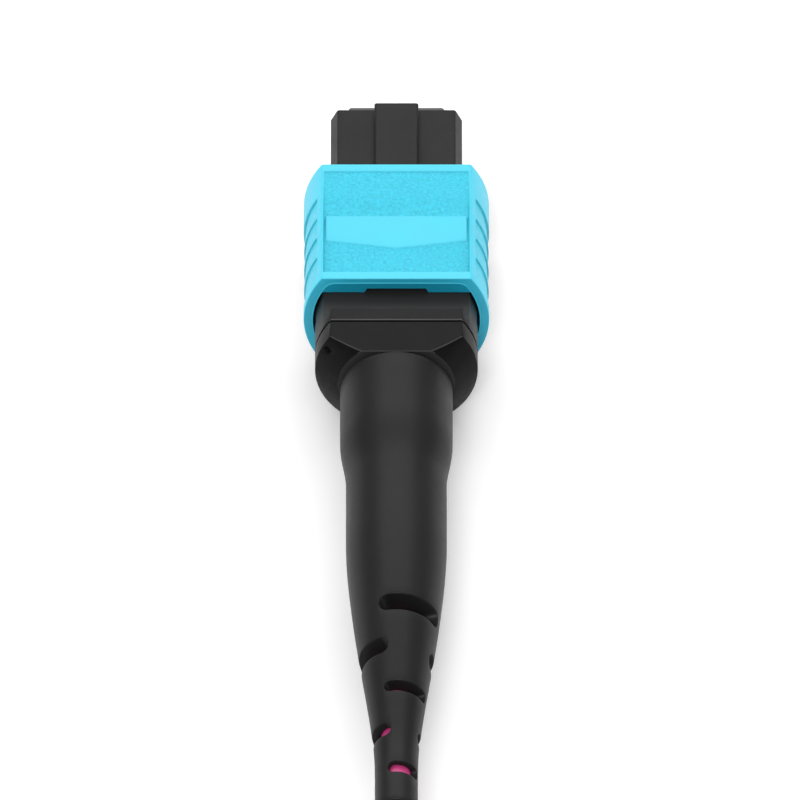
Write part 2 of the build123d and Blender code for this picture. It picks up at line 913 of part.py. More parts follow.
def make_cable_hank():
    """Outer shape of the hank that the rest of the cable is folded into."""
    height = hank_rows * hank_pitch
    outer_radius = hank_fold_radius + (hank_columns - 1) * hank_pitch + cable_d / 2
    inner_radius = hank_fold_radius - cable_d / 2
    half_run = hank_run / 2
    slant = math.radians(hank_waist_slant)
    half_waist = hank_columns * hank_pitch
    side_x = outer_radius * math.cos(slant)
    side_y = half_run - outer_radius * math.sin(slant)
    half_tie = tie_width / 2
    outline = make_face(
        Polyline(
            (half_waist, half_tie),
            (side_x, side_y),
            (-side_x, side_y),
            (-half_waist, half_tie),
            (-half_waist, -half_tie),
            (-side_x, -side_y),
            (side_x, -side_y),
            (half_waist, -half_tie),
            close=True,
        )
    )
    for end_y in (-half_run, half_run):
        outline += Pos(0, end_y) * Circle(outer_radius)
    for end_y in (-half_run, half_run):
        outline -= Pos(0, end_y) * Circle(inner_radius)
    body = Pos(hank_x, hank_y, -flange_bottom) * extrude(outline, amount=height)
    middle = Pos(hank_x, hank_y, height / 2 - flange_bottom)
    body -= middle * Box(4 * half_waist, tie_width, 2 * height)
    lifted = Pos(hank_x, height / 2 - flange_bottom + tie_thickness) * hank_waist_section(0, height)
    return body + prism(lifted, -hank_y - half_tie, -hank_y + half_tie)


def make_cable_tie():
    """Strap round the hank's waist."""
    height = hank_rows * hank_pitch
    ring = hank_waist_section(tie_thickness, height) - hank_waist_section(seat_gap, height)
    place = Pos(hank_x, height / 2 - flange_bottom + tie_thickness)
    return prism(place * ring, -hank_y - tie_width / 2, -hank_y + tie_width / 2)


os.makedirs("parts", exist_ok=True)
save(make_ferrule(), "ferrule")
save(make_ferrule_boot(), "ferrule_boot")
save(make_pin_clamp(), "pin_clamp")
save(make_main_spring(), "main_spring")
save(make_inner_housing(), "inner_housing")
save(make_coupler(), "coupler")
save(make_coupler_spring(-1), "coupler_spring_left")
save(make_coupler_spring(1), "coupler_spring_right")
save(make_spring_push(), "spring_push")
save(make_aramid_yarn(), "aramid_yarn")
save(make_crimp_ring(), "crimp_ring")
save(make_boot(), "boot")
save(make_cable_jacket(), "cable_jacket")
save(make_cable_free(), "cable_free")
save(make_cable_hank(), "cable_hank")
save(make_cable_tie(), "cable_tie")
for number, (row_x, place) in enumerate(zip(fibre_rows(), bundle_places()), start=1):
    save(make_fibre(row_x, place), f"fibre_{number:02d}")
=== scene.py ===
"""Looks of a twelve-fibre push-on connector with its slotted boot and its cable in a tied hank.

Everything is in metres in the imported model's frame: the origin is the middle of the
ferrule's end face, +Y is the mating direction and +Z is the key side. Sizes are written
in millimetres, as depths behind the ferrule's face and heights from the axis.
"""

import logging
import math
from dataclasses import dataclass
from enum import Enum
from functools import cache, reduce
from itertools import product
from typing import Callable, Iterable, Sequence

import bmesh
import bpy
import numpy as np
from mathutils import Matrix, Vector


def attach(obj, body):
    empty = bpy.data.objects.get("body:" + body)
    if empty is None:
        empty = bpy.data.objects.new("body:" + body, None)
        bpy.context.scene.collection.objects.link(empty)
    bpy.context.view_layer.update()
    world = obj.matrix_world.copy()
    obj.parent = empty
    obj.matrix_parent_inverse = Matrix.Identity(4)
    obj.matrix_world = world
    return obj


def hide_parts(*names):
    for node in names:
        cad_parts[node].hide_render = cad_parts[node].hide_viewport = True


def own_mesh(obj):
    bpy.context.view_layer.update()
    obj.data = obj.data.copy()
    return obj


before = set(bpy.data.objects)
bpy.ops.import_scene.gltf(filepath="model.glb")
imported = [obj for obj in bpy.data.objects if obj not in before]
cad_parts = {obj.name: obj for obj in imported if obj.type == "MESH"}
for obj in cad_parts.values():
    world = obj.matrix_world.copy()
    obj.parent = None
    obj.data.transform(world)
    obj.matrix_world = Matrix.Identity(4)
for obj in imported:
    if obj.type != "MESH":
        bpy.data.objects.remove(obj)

LOG = logging.getLogger("connector")
MM = 0.001
WELD = 1e-7
SLIVER = 1e-8
WHITE = (1, 1, 1, 1)
DUST = (0.5, 0.5, 0.5, 1)
# Painted shade: the share of red, green and blue that the rim's face and the recess behind it lose.
PAINTED_SHADE_LOSS = (0.85, 0.35, 0.26)
Point2 = tuple[float, float]
Point3 = tuple[float, float, float]
Row = tuple[list[Point3], list[float]]
Inputs = dict[str | int, object]
Skin = Callable[[float], float]


class Body(Enum):
    """The moving bodies of the connector."""

    HOUSING = "housing"
    COUPLER = "coupler"
    FERRULE = "ferrule"


class Slot(Enum):
    """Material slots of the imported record."""

    FERRULE = "ferrule_moulding"
    FERRULE_BOOT = "ferrule_rubber"
    CLAMP = "clamp_steel"
    SPRING = "spring_steel"
    HOUSING = "housing_black"
    COUPLER = "coupler_aqua"
    REAR_BODY = "rear_body_black"
    ARAMID = "aramid"
    CRIMP = "crimp_metal"
    BOOT = "boot_rubber"
    JACKET = "jacket_violet"
    TIE = "tie_strap"


class Sort(Enum):
    """Sorts of sockets in the node groups."""

    FLOAT = "NodeSocketFloat"
    WHOLE = "NodeSocketInt"
    COLOUR = "NodeSocketColor"
    VECTOR = "NodeSocketVector"
    MATERIAL = "NodeSocketMaterial"
    GEOMETRY = "NodeSocketGeometry"


def eased(value: float, start: float, end: float) -> float:
    """Smooth step.

    Args:
        value: The value.
        start: Where the step is 0.
        end: Where it is 1.

    Returns:
        The step's height at the value.
    """
    share = min(1.0, max(0.0, (value - start) / (end - start)))
    return share * share * (3 - 2 * share)


class NodeTree:
    """Short way to add and link shader or geometry nodes."""

    def __init__(self, tree: bpy.types.NodeTree) -> None:
        """Wraps the shader or geometry node tree that is to be filled."""
        self.tree = tree

    @classmethod
    def group(cls, name: str, kind: str, inputs: dict[str, Sort], outputs: dict[str, Sort]) -> "NodeTree":
        """Starts a node group with named sockets.

        Args:
            name: Name of the group.
            kind: Type of its tree.
            inputs: Sorts of its inputs by name.
            outputs: Sorts of its outputs by name.

        Returns:
            The group's wrapped tree.
        """
        group = bpy.data.node_groups.new(name, kind)
        for sockets, side in ((inputs, "INPUT"), (outputs, "OUTPUT")):
            for label, sort in sockets.items():
                group.interface.new_socket(label, in_out=side, socket_type=sort.value)
        return cls(group)

    def fill(self, node: bpy.types.Node, inputs: Inputs) -> None:
        """Gives a node's inputs their values or links.

        Args:
            node: The node.
            inputs: Values or output sockets by the input's name or index.
        """
        for name, value in inputs.items():
            if isinstance(value, bpy.types.NodeSocket):
                self.tree.links.new(value, node.inputs[name])
            else:
                node.inputs[name].default_value = value

    def add(self, kind: str, inputs: Inputs | None = None, **settings: object) -> bpy.types.Node:
        """Adds one node.

        Args:
            kind: Node type, such as ShaderNodeMath.
            inputs: Values or output sockets by the node's input name or index.
            settings: Attributes of the node, such as operation.

        Returns:
            The new node.
        """
        node = self.tree.nodes.new(kind)
        for name, value in settings.items():
            setattr(node, name, value)
        self.fill(node, inputs or {})
        return node

    def math(
        self, operation: str, first: object, second: object = 0.0, clamp: bool = False
    ) -> bpy.types.NodeSocket:
        """Adds a math node, whose result may be kept between 0 and 1, and returns its socket."""
        node = self.add("ShaderNodeMath", {0: first, 1: second}, operation=operation, use_clamp=clamp)
        return node.outputs[0]

    def product(self, *factors: object) -> bpy.types.NodeSocket:
        """Multiplies values or sockets."""
        return reduce(lambda first, second: self.math("MULTIPLY", first, second), factors)

    def total(self, *terms: object) -> bpy.types.NodeSocket:
        """Adds up values or sockets."""
        return reduce(lambda first, second: self.math("ADD", first, second), terms)

    def less(self, first: object, second: object) -> bpy.types.NodeSocket:
        """Takes the second value or socket from the first."""
        return self.math("SUBTRACT", first, second)

    def share(self, first: object, second: object) -> bpy.types.NodeSocket:
        """Divides the first value or socket by the second."""
        return self.math("DIVIDE", first, second)

    def centred(self, noise: object) -> bpy.types.NodeSocket:
        """Moves a noise so that it swings about 0."""
        return self.less(noise, 0.5)

    def above(self, value: object, limit: float) -> bpy.types.NodeSocket:
        """1 where a value is above a limit and 0 elsewhere."""
        return self.math("GREATER_THAN", value, limit)

    def held(self, value: object, low: float, high: float) -> bpy.types.NodeSocket:
        """Keeps a value between two limits."""
        return self.math("MAXIMUM", self.math("MINIMUM", value, high), low)

    def step(self, value: object, low: float, high: float) -> bpy.types.NodeSocket:
        """Adds a soft step from 0 at low to 1 at high, or down from 1 where high is the smaller."""
        first, last = (1.0, 0.0) if high < low else (0.0, 1.0)
        inputs = {0: value, 1: min(low, high), 2: max(low, high), 3: first, 4: last}
        return self.add("ShaderNodeMapRange", inputs, interpolation_type="SMOOTHSTEP").outputs[0]

    def spread(self, value: object, low: float, high: float) -> bpy.types.NodeSocket:
        """Spreads a value between 0 and 1 over another range."""
        return self.add("ShaderNodeMapRange", {"Value": value, "To Min": low, "To Max": high}).outputs[0]

    def place(self) -> bpy.types.NodeSocket:
        """Object coordinates."""
        return self.add("ShaderNodeTexCoord").outputs["Object"]

    def axes(self, place: object) -> bpy.types.bpy_prop_collection:
        """X, Y and Z of a vector."""
        return self.add("ShaderNodeSeparateXYZ", {0: place}).outputs

    def join(self, x: object, y: object, z: object) -> bpy.types.NodeSocket:
        """Vector of three values or sockets."""
        return self.add("ShaderNodeCombineXYZ", {0: x, 1: y, 2: z}).outputs[0]

    def mapped(self, place: object, scale: Point3, turn: Point3 = (0, 0, 0)) -> bpy.types.NodeSocket:
        """Coordinates turned by angles in radians and scaled."""
        return self.add("ShaderNodeMapping", {"Vector": place, "Rotation": turn, "Scale": scale}).outputs[0]

    def noise(
        self, place: object, scale: object, detail: float = 2.0, roughness: float = 0.5
    ) -> bpy.types.NodeSocket:
        """Noise between 0 and 1."""
        inputs = {"Vector": place, "Scale": scale, "Detail": detail, "Roughness": roughness}
        return self.add("ShaderNodeTexNoise", inputs).outputs["Fac"]

    def mix(self, factor: object, first: object, second: object) -> bpy.types.NodeSocket:
        """Colour between two others."""
        return self.add("ShaderNodeMix", {"Factor": factor, 6: first, 7: second}, data_type="RGBA").outputs[2]

    def vector(self, operation: str, first: object, second: object) -> bpy.types.NodeSocket:
        """Adds a vector math node and returns its socket."""
        return self.add("ShaderNodeVectorMath", {0: first, 1: second}, operation=operation).outputs[0]

    def scaled(self, vector: object, factor: object) -> bpy.types.NodeSocket:
        """Vector or colour times a factor."""
        return self.add("ShaderNodeVectorMath", {0: vector, "Scale": factor}, operation="SCALE").outputs[0]

    def attribute(self, name: str) -> bpy.types.NodeSocket:
        """Value that the mesh carries under a name."""
        return self.add("ShaderNodeAttribute", attribute_name=name).outputs["Fac"]

    def ray(self, kind: str) -> bpy.types.NodeSocket:
        """1 on rays of a kind, such as Is Camera Ray."""
        return self.add("ShaderNodeLightPath").outputs[kind]

    def bump(self, height: object, distance: object, strength: float = 1.0) -> bpy.types.NodeSocket:
        """Normal of a bumpy surface."""
        inputs = {"Strength": strength, "Distance": distance, "Height": height}
        return self.add("ShaderNodeBump", inputs).outputs["Normal"]


class GeometryTree(NodeTree):
    """A geometry node tree with named sizes, which makes a plain mesh."""

    @classmethod
    def named(cls, name: str, inputs: dict[str, Sort]) -> "GeometryTree":
        """Starts a tree whose finish is an input beside the named ones."""
        ends = {"Geometry": Sort.GEOMETRY}
        return cls.group(name, "GeometryNodeTree", {**inputs, "Finish": Sort.MATERIAL}, ends)

    def tube(self, curve: object, radius: object, sides: int) -> bpy.types.NodeSocket:
        """Closed round tube along a curve.

        Args:
            curve: The curve's socket.
            radius: Radius of the tube.
            sides: Number of its sides.

        Returns:
            The tube's socket.
        """
        ring = self.add("GeometryNodeCurvePrimitiveCircle", {"Resolution": sides, "Radius": radius})
        inputs = {"Curve": curve, "Profile Curve": ring.outputs[0], "Fill Caps": True}
        return self.add("GeometryNodeCurveToMesh", inputs).outputs[0]

    def close(self, geometry: object, finish: object) -> None:
        """Shades the geometry smooth, makes its instances real, dresses it and puts it out.

        Args:
            geometry: The geometry's socket.
            finish: The material's socket.
        """
        smooth = self.add("GeometryNodeSetShadeSmooth", {0: geometry})
        real = self.add("GeometryNodeRealizeInstances", {0: smooth.outputs[0]})
        dressed = self.add("GeometryNodeSetMaterial", {"Geometry": real.outputs[0], "Material": finish})
        self.add("NodeGroupOutput", {"Geometry": dressed.outputs[0]})

    def run(self, name: str, values: dict[str, object]) -> bpy.types.Mesh:
        """Runs the tree on an empty mesh.

        Args:
            name: Name of the new mesh.
            values: The tree's inputs by name.

        Returns:
            A plain mesh of the result.
        """
        holder = Bench.linked("tree_holder", bpy.data.meshes.new("tree_holder"))
        modifier = holder.modifiers.new("tree", "NODES")
        modifier.node_group = self.tree
        for item in self.tree.interface.items_tree:
            if item.in_out == "INPUT":
                modifier[item.identifier] = values[item.name]
        mesh = Bench.evaluated(holder)
        mesh.name = name
        holder.modifiers.clear()
        bpy.data.objects.remove(holder)
        return mesh


class SurfaceGroups:
    """Shader effects that several finishes share; each group is built once."""

    PATCH_SWING = 1.4
    VALLEY_START = 2.1
    VALLEY_SLOPE = 3.2
    FINE_GLOSS = 0.10
    PATCH_GLOSS = 0.14
    SCUFFED_ABOVE = 0.68
    SPOT_RADIUS = 0.10
    DUSTY_ABOVE = 0.60
    # Fades of the rubbed and painted fill zone on the flats under the coupler.
    RUB_AND_PAINTED_FILL_FADES = (0.4, 0.02, 0.12)

    @staticmethod
    @cache
    def moulded_grain() -> bpy.types.NodeTree:
        """Fine grain of a moulded surface, with soft mottling of its colour and gloss, and painted shade in
        the grain's valleys.

        Returns:
            The node group, whose mask says where the grain is and whose recess input deepens the colour as
            painted shade.
        """
        floats = ("Roughness", "Grain Size", "Grain Depth", "Grain Mask", "Mottle", "Grain Shade", "Recess")
        tree = NodeTree.group(
            "moulded_grain",
            "ShaderNodeTree",
            {"Color": Sort.COLOUR, **dict.fromkeys(floats, Sort.FLOAT)},
            {"Color": Sort.COLOUR, "Roughness": Sort.FLOAT, "Normal": Sort.VECTOR},
        )
        source = tree.add("NodeGroupInput").outputs
        mask = source["Grain Mask"]
        place = tree.place()
        grain = tree.noise(place, tree.share(1 / MM, source["Grain Size"]), detail=3.0, roughness=0.6)
        patch = tree.centred(tree.noise(place, scale=420.0, detail=4.0, roughness=0.55))
        fine = tree.centred(tree.noise(place, scale=2600.0))
        raised = tree.product(tree.centred(grain), mask)
        level = tree.total(tree.product(patch, SurfaceGroups.PATCH_SWING), raised)
        # Painted shade in the grain's valleys, stronger as Grain Shade grows.
        slope = tree.product(grain, SurfaceGroups.VALLEY_SLOPE)
        valley = tree.less(SurfaceGroups.VALLEY_START, slope)
        shadow = tree.product(mask, source["Grain Shade"], valley)
        swing = tree.less(tree.total(1.0, tree.product(level, source["Mottle"])), shadow)
        # Painted shade: darkens and deepens the colour where the mesh marks the rim's face or the recess.
        kept = tree.vector("SUBTRACT", (1.0, 1.0, 1.0), tree.scaled(PAINTED_SHADE_LOSS, source["Recess"]))
        colour = tree.scaled(tree.vector("MULTIPLY", source["Color"], kept), swing)
        fine_gloss = tree.product(fine, SurfaceGroups.FINE_GLOSS)
        gloss = tree.total(fine_gloss, tree.product(patch, SurfaceGroups.PATCH_GLOSS))
        rough = tree.math("ADD", source["Roughness"], gloss, clamp=True)
        normal = tree.bump(tree.product(grain, mask), tree.product(source["Grain Depth"], MM))
        tree.add("NodeGroupOutput", {"Color": colour, "Roughness": rough, "Normal": normal})
        return tree.tree

    @staticmethod
    @cache
    def handling_marks() -> bpy.types.NodeTree:
        """Sparse fine scuffs and dust from handling.

        Returns:
            The node group, with a mask of scuffs and one of dust.
        """
        masks = {"Scuffs": Sort.FLOAT, "Dust": Sort.FLOAT}
        tree = NodeTree.group("handling_marks", "ShaderNodeTree", {"Amount": Sort.FLOAT}, masks)
        amount = tree.add("NodeGroupInput").outputs["Amount"]
        place = tree.place()
        turned = tree.mapped(place, scale=(900, 60, 400), turn=(0.3, 0.2, 0.7))
        scuff = tree.above(tree.noise(turned, scale=6.0), SurfaceGroups.SCUFFED_ABOVE)
        spots = tree.add("ShaderNodeTexVoronoi", {"Vector": place, "Scale": 1500.0, "Randomness": 1.0})
        spot = tree.math("LESS_THAN", spots.outputs["Distance"], SurfaceGroups.SPOT_RADIUS)
        dusty = tree.above(tree.noise(place, scale=300.0), SurfaceGroups.DUSTY_ABOVE)
        ends = {"Scuffs": tree.product(scuff, amount), "Dust": tree.product(spot, dusty, amount)}
        tree.add("NodeGroupOutput", ends)
        return tree.tree

    @staticmethod
    def rub_and_painted_fill(tree: NodeTree, zone: Point3) -> bpy.types.NodeSocket:
        """Mask of the flats that another piece slides on, which are paler from rubbing and from painted fill
        light that lifts that piece's shade.

        Args:
            tree: The material's nodes.
            zone: First and last depth, and the least height, in millimetres.

        Returns:
            A socket that is 1 in the zone and 0 outside it.
        """
        first, last, low = zone
        fade_in, fade_out, rise = SurfaceGroups.RUB_AND_PAINTED_FILL_FADES
        axes = tree.axes(tree.place())
        depth = tree.share(axes["Y"], -MM)
        height = tree.share(tree.math("ABSOLUTE", axes["Z"]), MM)
        start = tree.step(depth, first, first + fade_in)
        end = tree.step(depth, last + fade_out, last - fade_out)
        return tree.product(start, end, tree.step(height, low, low + rise))


@dataclass(frozen=True)
class Finish:
    """A finish of its own colour, whose material is made once."""

    name: str
    colour: Point3

    @cache
    def build(self) -> bpy.types.Material:
        """Builds the material once and returns it afterwards."""
        material = bpy.data.materials.new(self.name)
        material.use_nodes = True
        self.dress(NodeTree(material.node_tree), material.node_tree.nodes["Principled BSDF"])
        return material

    def dress(self, tree: NodeTree, shader: bpy.types.Node) -> None:
        """Fills the material's nodes in and links them to its shader."""
        raise NotImplementedError


@dataclass(frozen=True)
class MouldedFinish(Finish):
    """A moulded polymer or rubber: colour, gloss, grain, painted light and shade, and light handling marks.
    """

    roughness: float = 0.4
    grain_size: float = 0.10
    grain_depth: float = 0.004
    mottle: float = 0.06
    marks: float = 0.0
    specular: float = 0.5
    masked: bool = False
    grain_specular: float = 0.5
    grain_shade: float = 0.0
    bounce: float = 0.0
    # How far the mesh's painted light marks pale the colour.
    painted_light_tone: float = 0.0
    # Paler flats from rubbing and from painted fill light, in a zone of depths and least height.
    rub_and_painted_fill_tone: float = 0.0
    rub_and_painted_fill_zone: Point3 = (0.0, 0.0, 0.0)
    scuff_roughness: float = 0.3

    def dress(self, tree: NodeTree, shader: bpy.types.Node) -> None:
        """Fills in the grain, dust and scuffs, and the mesh's marks of grain, of painted recess shade and of
        painted light and shade.
        """
        tree.fill(shader, {"Specular IOR Level": self.specular})
        mask = tree.attribute("grain") if self.masked else 1.0
        look = {
            "Color": (*self.colour, 1),
            "Roughness": self.roughness,
            "Grain Size": self.grain_size,
            "Grain Depth": self.grain_depth,
            "Grain Mask": mask,
            "Mottle": self.mottle,
            "Grain Shade": self.grain_shade,
            # painted shade of the rim's face and the recess
            "Recess": tree.attribute("recess") if self.masked else 0.0,
        }
        grain = tree.add("ShaderNodeGroup", look, node_tree=SurfaceGroups.moulded_grain()).outputs
        amount = {"Amount": self.marks}
        marks = tree.add("ShaderNodeGroup", amount, node_tree=SurfaceGroups.handling_marks()).outputs
        colour = tree.mix(marks["Dust"], grain["Color"], DUST)
        if self.masked:
            lost = tree.product(mask, self.specular - self.grain_specular)
            tree.fill(shader, {"Specular IOR Level": tree.less(self.specular, lost)})
        if self.bounce:
            colour = tree.mix(tree.ray("Is Diffuse Ray"), colour, (self.bounce, self.bounce, self.bounce, 1))
        # Painted light: marks above 0 mix the colour towards white, as painted highlights on edges and
        # painted light on a shaded face.
        if self.painted_light_tone:
            wear = tree.attribute("wear")
            paler = tree.product(tree.math("MAXIMUM", wear, 0.0), self.painted_light_tone)
            # Paler flats where the coupler rubs, with painted fill light for the coupler's shade.
            if self.rub_and_painted_fill_tone:
                rub_and_painted_fill = SurfaceGroups.rub_and_painted_fill(tree, self.rub_and_painted_fill_zone)
                paler = tree.total(paler, tree.product(rub_and_painted_fill, self.rub_and_painted_fill_tone))
            colour = tree.mix(paler, colour, WHITE)
            # Painted shade: marks below 0 dull the specular.
            dulled = tree.total(1.0, tree.math("MINIMUM", wear, 0.0))
            tree.fill(shader, {"Specular IOR Level": tree.product(dulled, self.specular)})
        scuffs = tree.product(marks["Scuffs"], self.scuff_roughness)
        rough = tree.total(grain["Roughness"], scuffs)
        tree.fill(shader, {"Base Color": colour, "Roughness": rough, "Normal": grain["Normal"]})


@dataclass(frozen=True)
class MetalFinish(Finish):
    """Drawn, turned or stamped metal with fine lines along its working direction."""

    roughness: float = 0.3
    line_scale: Point3 = (300.0, 9000.0, 300.0)
    line_depth: float = 0.002
    tone: Point2 = (0.86, 1.05)
    gloss_swing: float = 0.3

    def dress(self, tree: NodeTree, shader: bpy.types.Node) -> None:
        """Fills in the drawn lines and a faint cloudiness."""
        place = tree.place()
        lines = tree.noise(tree.mapped(place, self.line_scale), scale=1.0, detail=4.0)
        cloud = tree.noise(place, scale=500.0, detail=3.0)
        swing = tree.product(tree.centred(lines), self.gloss_swing)
        look = {
            "Base Color": tree.scaled(self.colour, tree.spread(cloud, *self.tone)),
            "Roughness": tree.math("ADD", self.roughness, swing, clamp=True),
            "Normal": tree.bump(lines, self.line_depth * MM, strength=0.6),
            "Metallic": 1.0,
        }
        tree.fill(shader, look)


@dataclass(frozen=True)
class FibreFinish(Finish):
    """Coated fibre: bare glass in the ferrule, a coloured coat behind it."""

    centre_x: float = 0.0
    bare_end: float = 3.12
    core_radius: float = 0.014
    cladding: Point3 = (0.30, 0.34, 0.36)
    core: Point3 = (0.95, 0.97, 1.0)
    tone: Point2 = (0.82, 1.12)
    coat_roughness: float = 0.34
    glass_roughness: float = 0.10

    def dress(self, tree: NodeTree, shader: bpy.types.Node) -> None:
        """Fills in the glass with its bright core, and the coat behind it."""
        place = tree.place()
        axes = tree.axes(place)
        bare = tree.above(axes["Y"], -self.bare_end * MM)
        across = tree.less(axes["X"], self.centre_x * MM)
        squares = tree.total(tree.product(across, across), tree.product(axes["Z"], axes["Z"]))
        core = tree.math("LESS_THAN", tree.math("SQRT", squares), self.core_radius * MM)
        speck = tree.noise(place, scale=4000.0)
        coat = tree.scaled(self.colour, tree.spread(speck, *self.tone))
        glass = tree.mix(core, (*self.cladding, 1), (*self.core, 1))
        smoother = tree.product(bare, self.coat_roughness - self.glass_roughness)
        rough = tree.less(self.coat_roughness, smoother)
        tree.fill(shader, {"Base Color": tree.mix(bare, coat, glass), "Roughness": rough})


@dataclass(frozen=True)
class YarnFinish(Finish):
    """Aramid yarn: fine fibres side by side, with a soft sheen."""

    fibre_scale: Point3 = (9000, 300, 9000)
    fibre_depth: float = 0.02
    tone: Point2 = (0.62, 1.2)
    gloss: Point2 = (0.45, 0.75)

    def dress(self, tree: NodeTree, shader: bpy.types.Node) -> None:
        """Fills in the fine fibres along the strands."""
        fibres = tree.noise(tree.mapped(tree.place(), self.fibre_scale), scale=1.0, detail=5.0)
        look = {
            "Base Color": tree.scaled(self.colour, tree.spread(fibres, *self.tone)),
            "Roughness": tree.spread(fibres, *self.gloss),
            "Normal": tree.bump(fibres, self.fibre_depth * MM, strength=0.9),
            "Sheen Weight": 0.3,
        }
        tree.fill(shader, look)


AQUA = MouldedFinish(
    "aqua_polymer", (0.058, 0.665, 0.88), roughness=0.40, specular=0.38, masked=True, grain_size=0.22,
    grain_depth=0.10, grain_specular=0.18, grain_shade=0.16, bounce=0.30,
)
# Both black mouldings get painted highlights, light and shade from their mesh marks.
HOUSING_BLACK = MouldedFinish(
    "housing_polymer", (0.0105, 0.0105, 0.0107), roughness=0.42, specular=0.16, grain_size=0.09,
    grain_depth=0.003, painted_light_tone=0.050, rub_and_painted_fill_tone=0.022, rub_and_painted_fill_zone=(16.7, 21.1, 2.2),
)
REAR_BLACK = MouldedFinish(
    "rear_body_polymer", (0.0055, 0.0055, 0.0055), roughness=0.38, specular=0.075, grain_size=0.12,
    grain_depth=0.002, painted_light_tone=0.050,
)
BOOT_RUBBER = MouldedFinish(
    "boot_elastomer", (0.0165, 0.0165, 0.0167), specular=0.12, grain_depth=0.005, mottle=0.12,
)
JACKET = MouldedFinish(
    "cable_jacket_violet", (0.62, 0.045, 0.22), grain_size=0.16, grain_depth=0.003, marks=0.15,
)
FERRULE_POLYMER = MouldedFinish(
    "ferrule_filled_polymer", (0.040, 0.041, 0.044), roughness=0.34, grain_size=0.045, grain_depth=0.0015,
    mottle=0.35, marks=0.1,
)
FERRULE_RUBBER = MouldedFinish("ferrule_boot_rubber", (0.03, 0.03, 0.03), roughness=0.6, marks=0.25)
TIE_WEAVE = MouldedFinish(
    "hook_and_loop_weave", (0.020, 0.020, 0.021), roughness=0.85, specular=0.2, grain_size=0.12,
    grain_depth=0.05, mottle=0.5,
)
SPRING_STEEL = MetalFinish("spring_wire_steel", (0.62, 0.61, 0.60), roughness=0.26)
CLAMP_STEEL = MetalFinish(
    "clamp_sheet_steel", (0.58, 0.58, 0.59), roughness=0.32, line_scale=(300.0, 300.0, 9000.0)
)
CRIMP_METAL = MetalFinish("crimped_aluminium", (0.78, 0.78, 0.79), line_scale=(60.0, 12000.0, 60.0))
ARAMID = YarnFinish("aramid_yarn", (0.80, 0.60, 0.14))
FIBRE_COLOURS: dict[str, Point3] = {
    "blue": (0.03, 0.16, 0.55), "orange": (0.80, 0.27, 0.03), "green": (0.03, 0.38, 0.12),
    "brown": (0.22, 0.10, 0.04), "slate": (0.28, 0.31, 0.34), "white": (0.85, 0.85, 0.84),
    "red": (0.65, 0.03, 0.03), "black": (0.02, 0.02, 0.02), "yellow": (0.85, 0.65, 0.03),
    "violet": (0.25, 0.08, 0.42), "rose": (0.85, 0.35, 0.45), "aqua": (0.10, 0.60, 0.65),
}


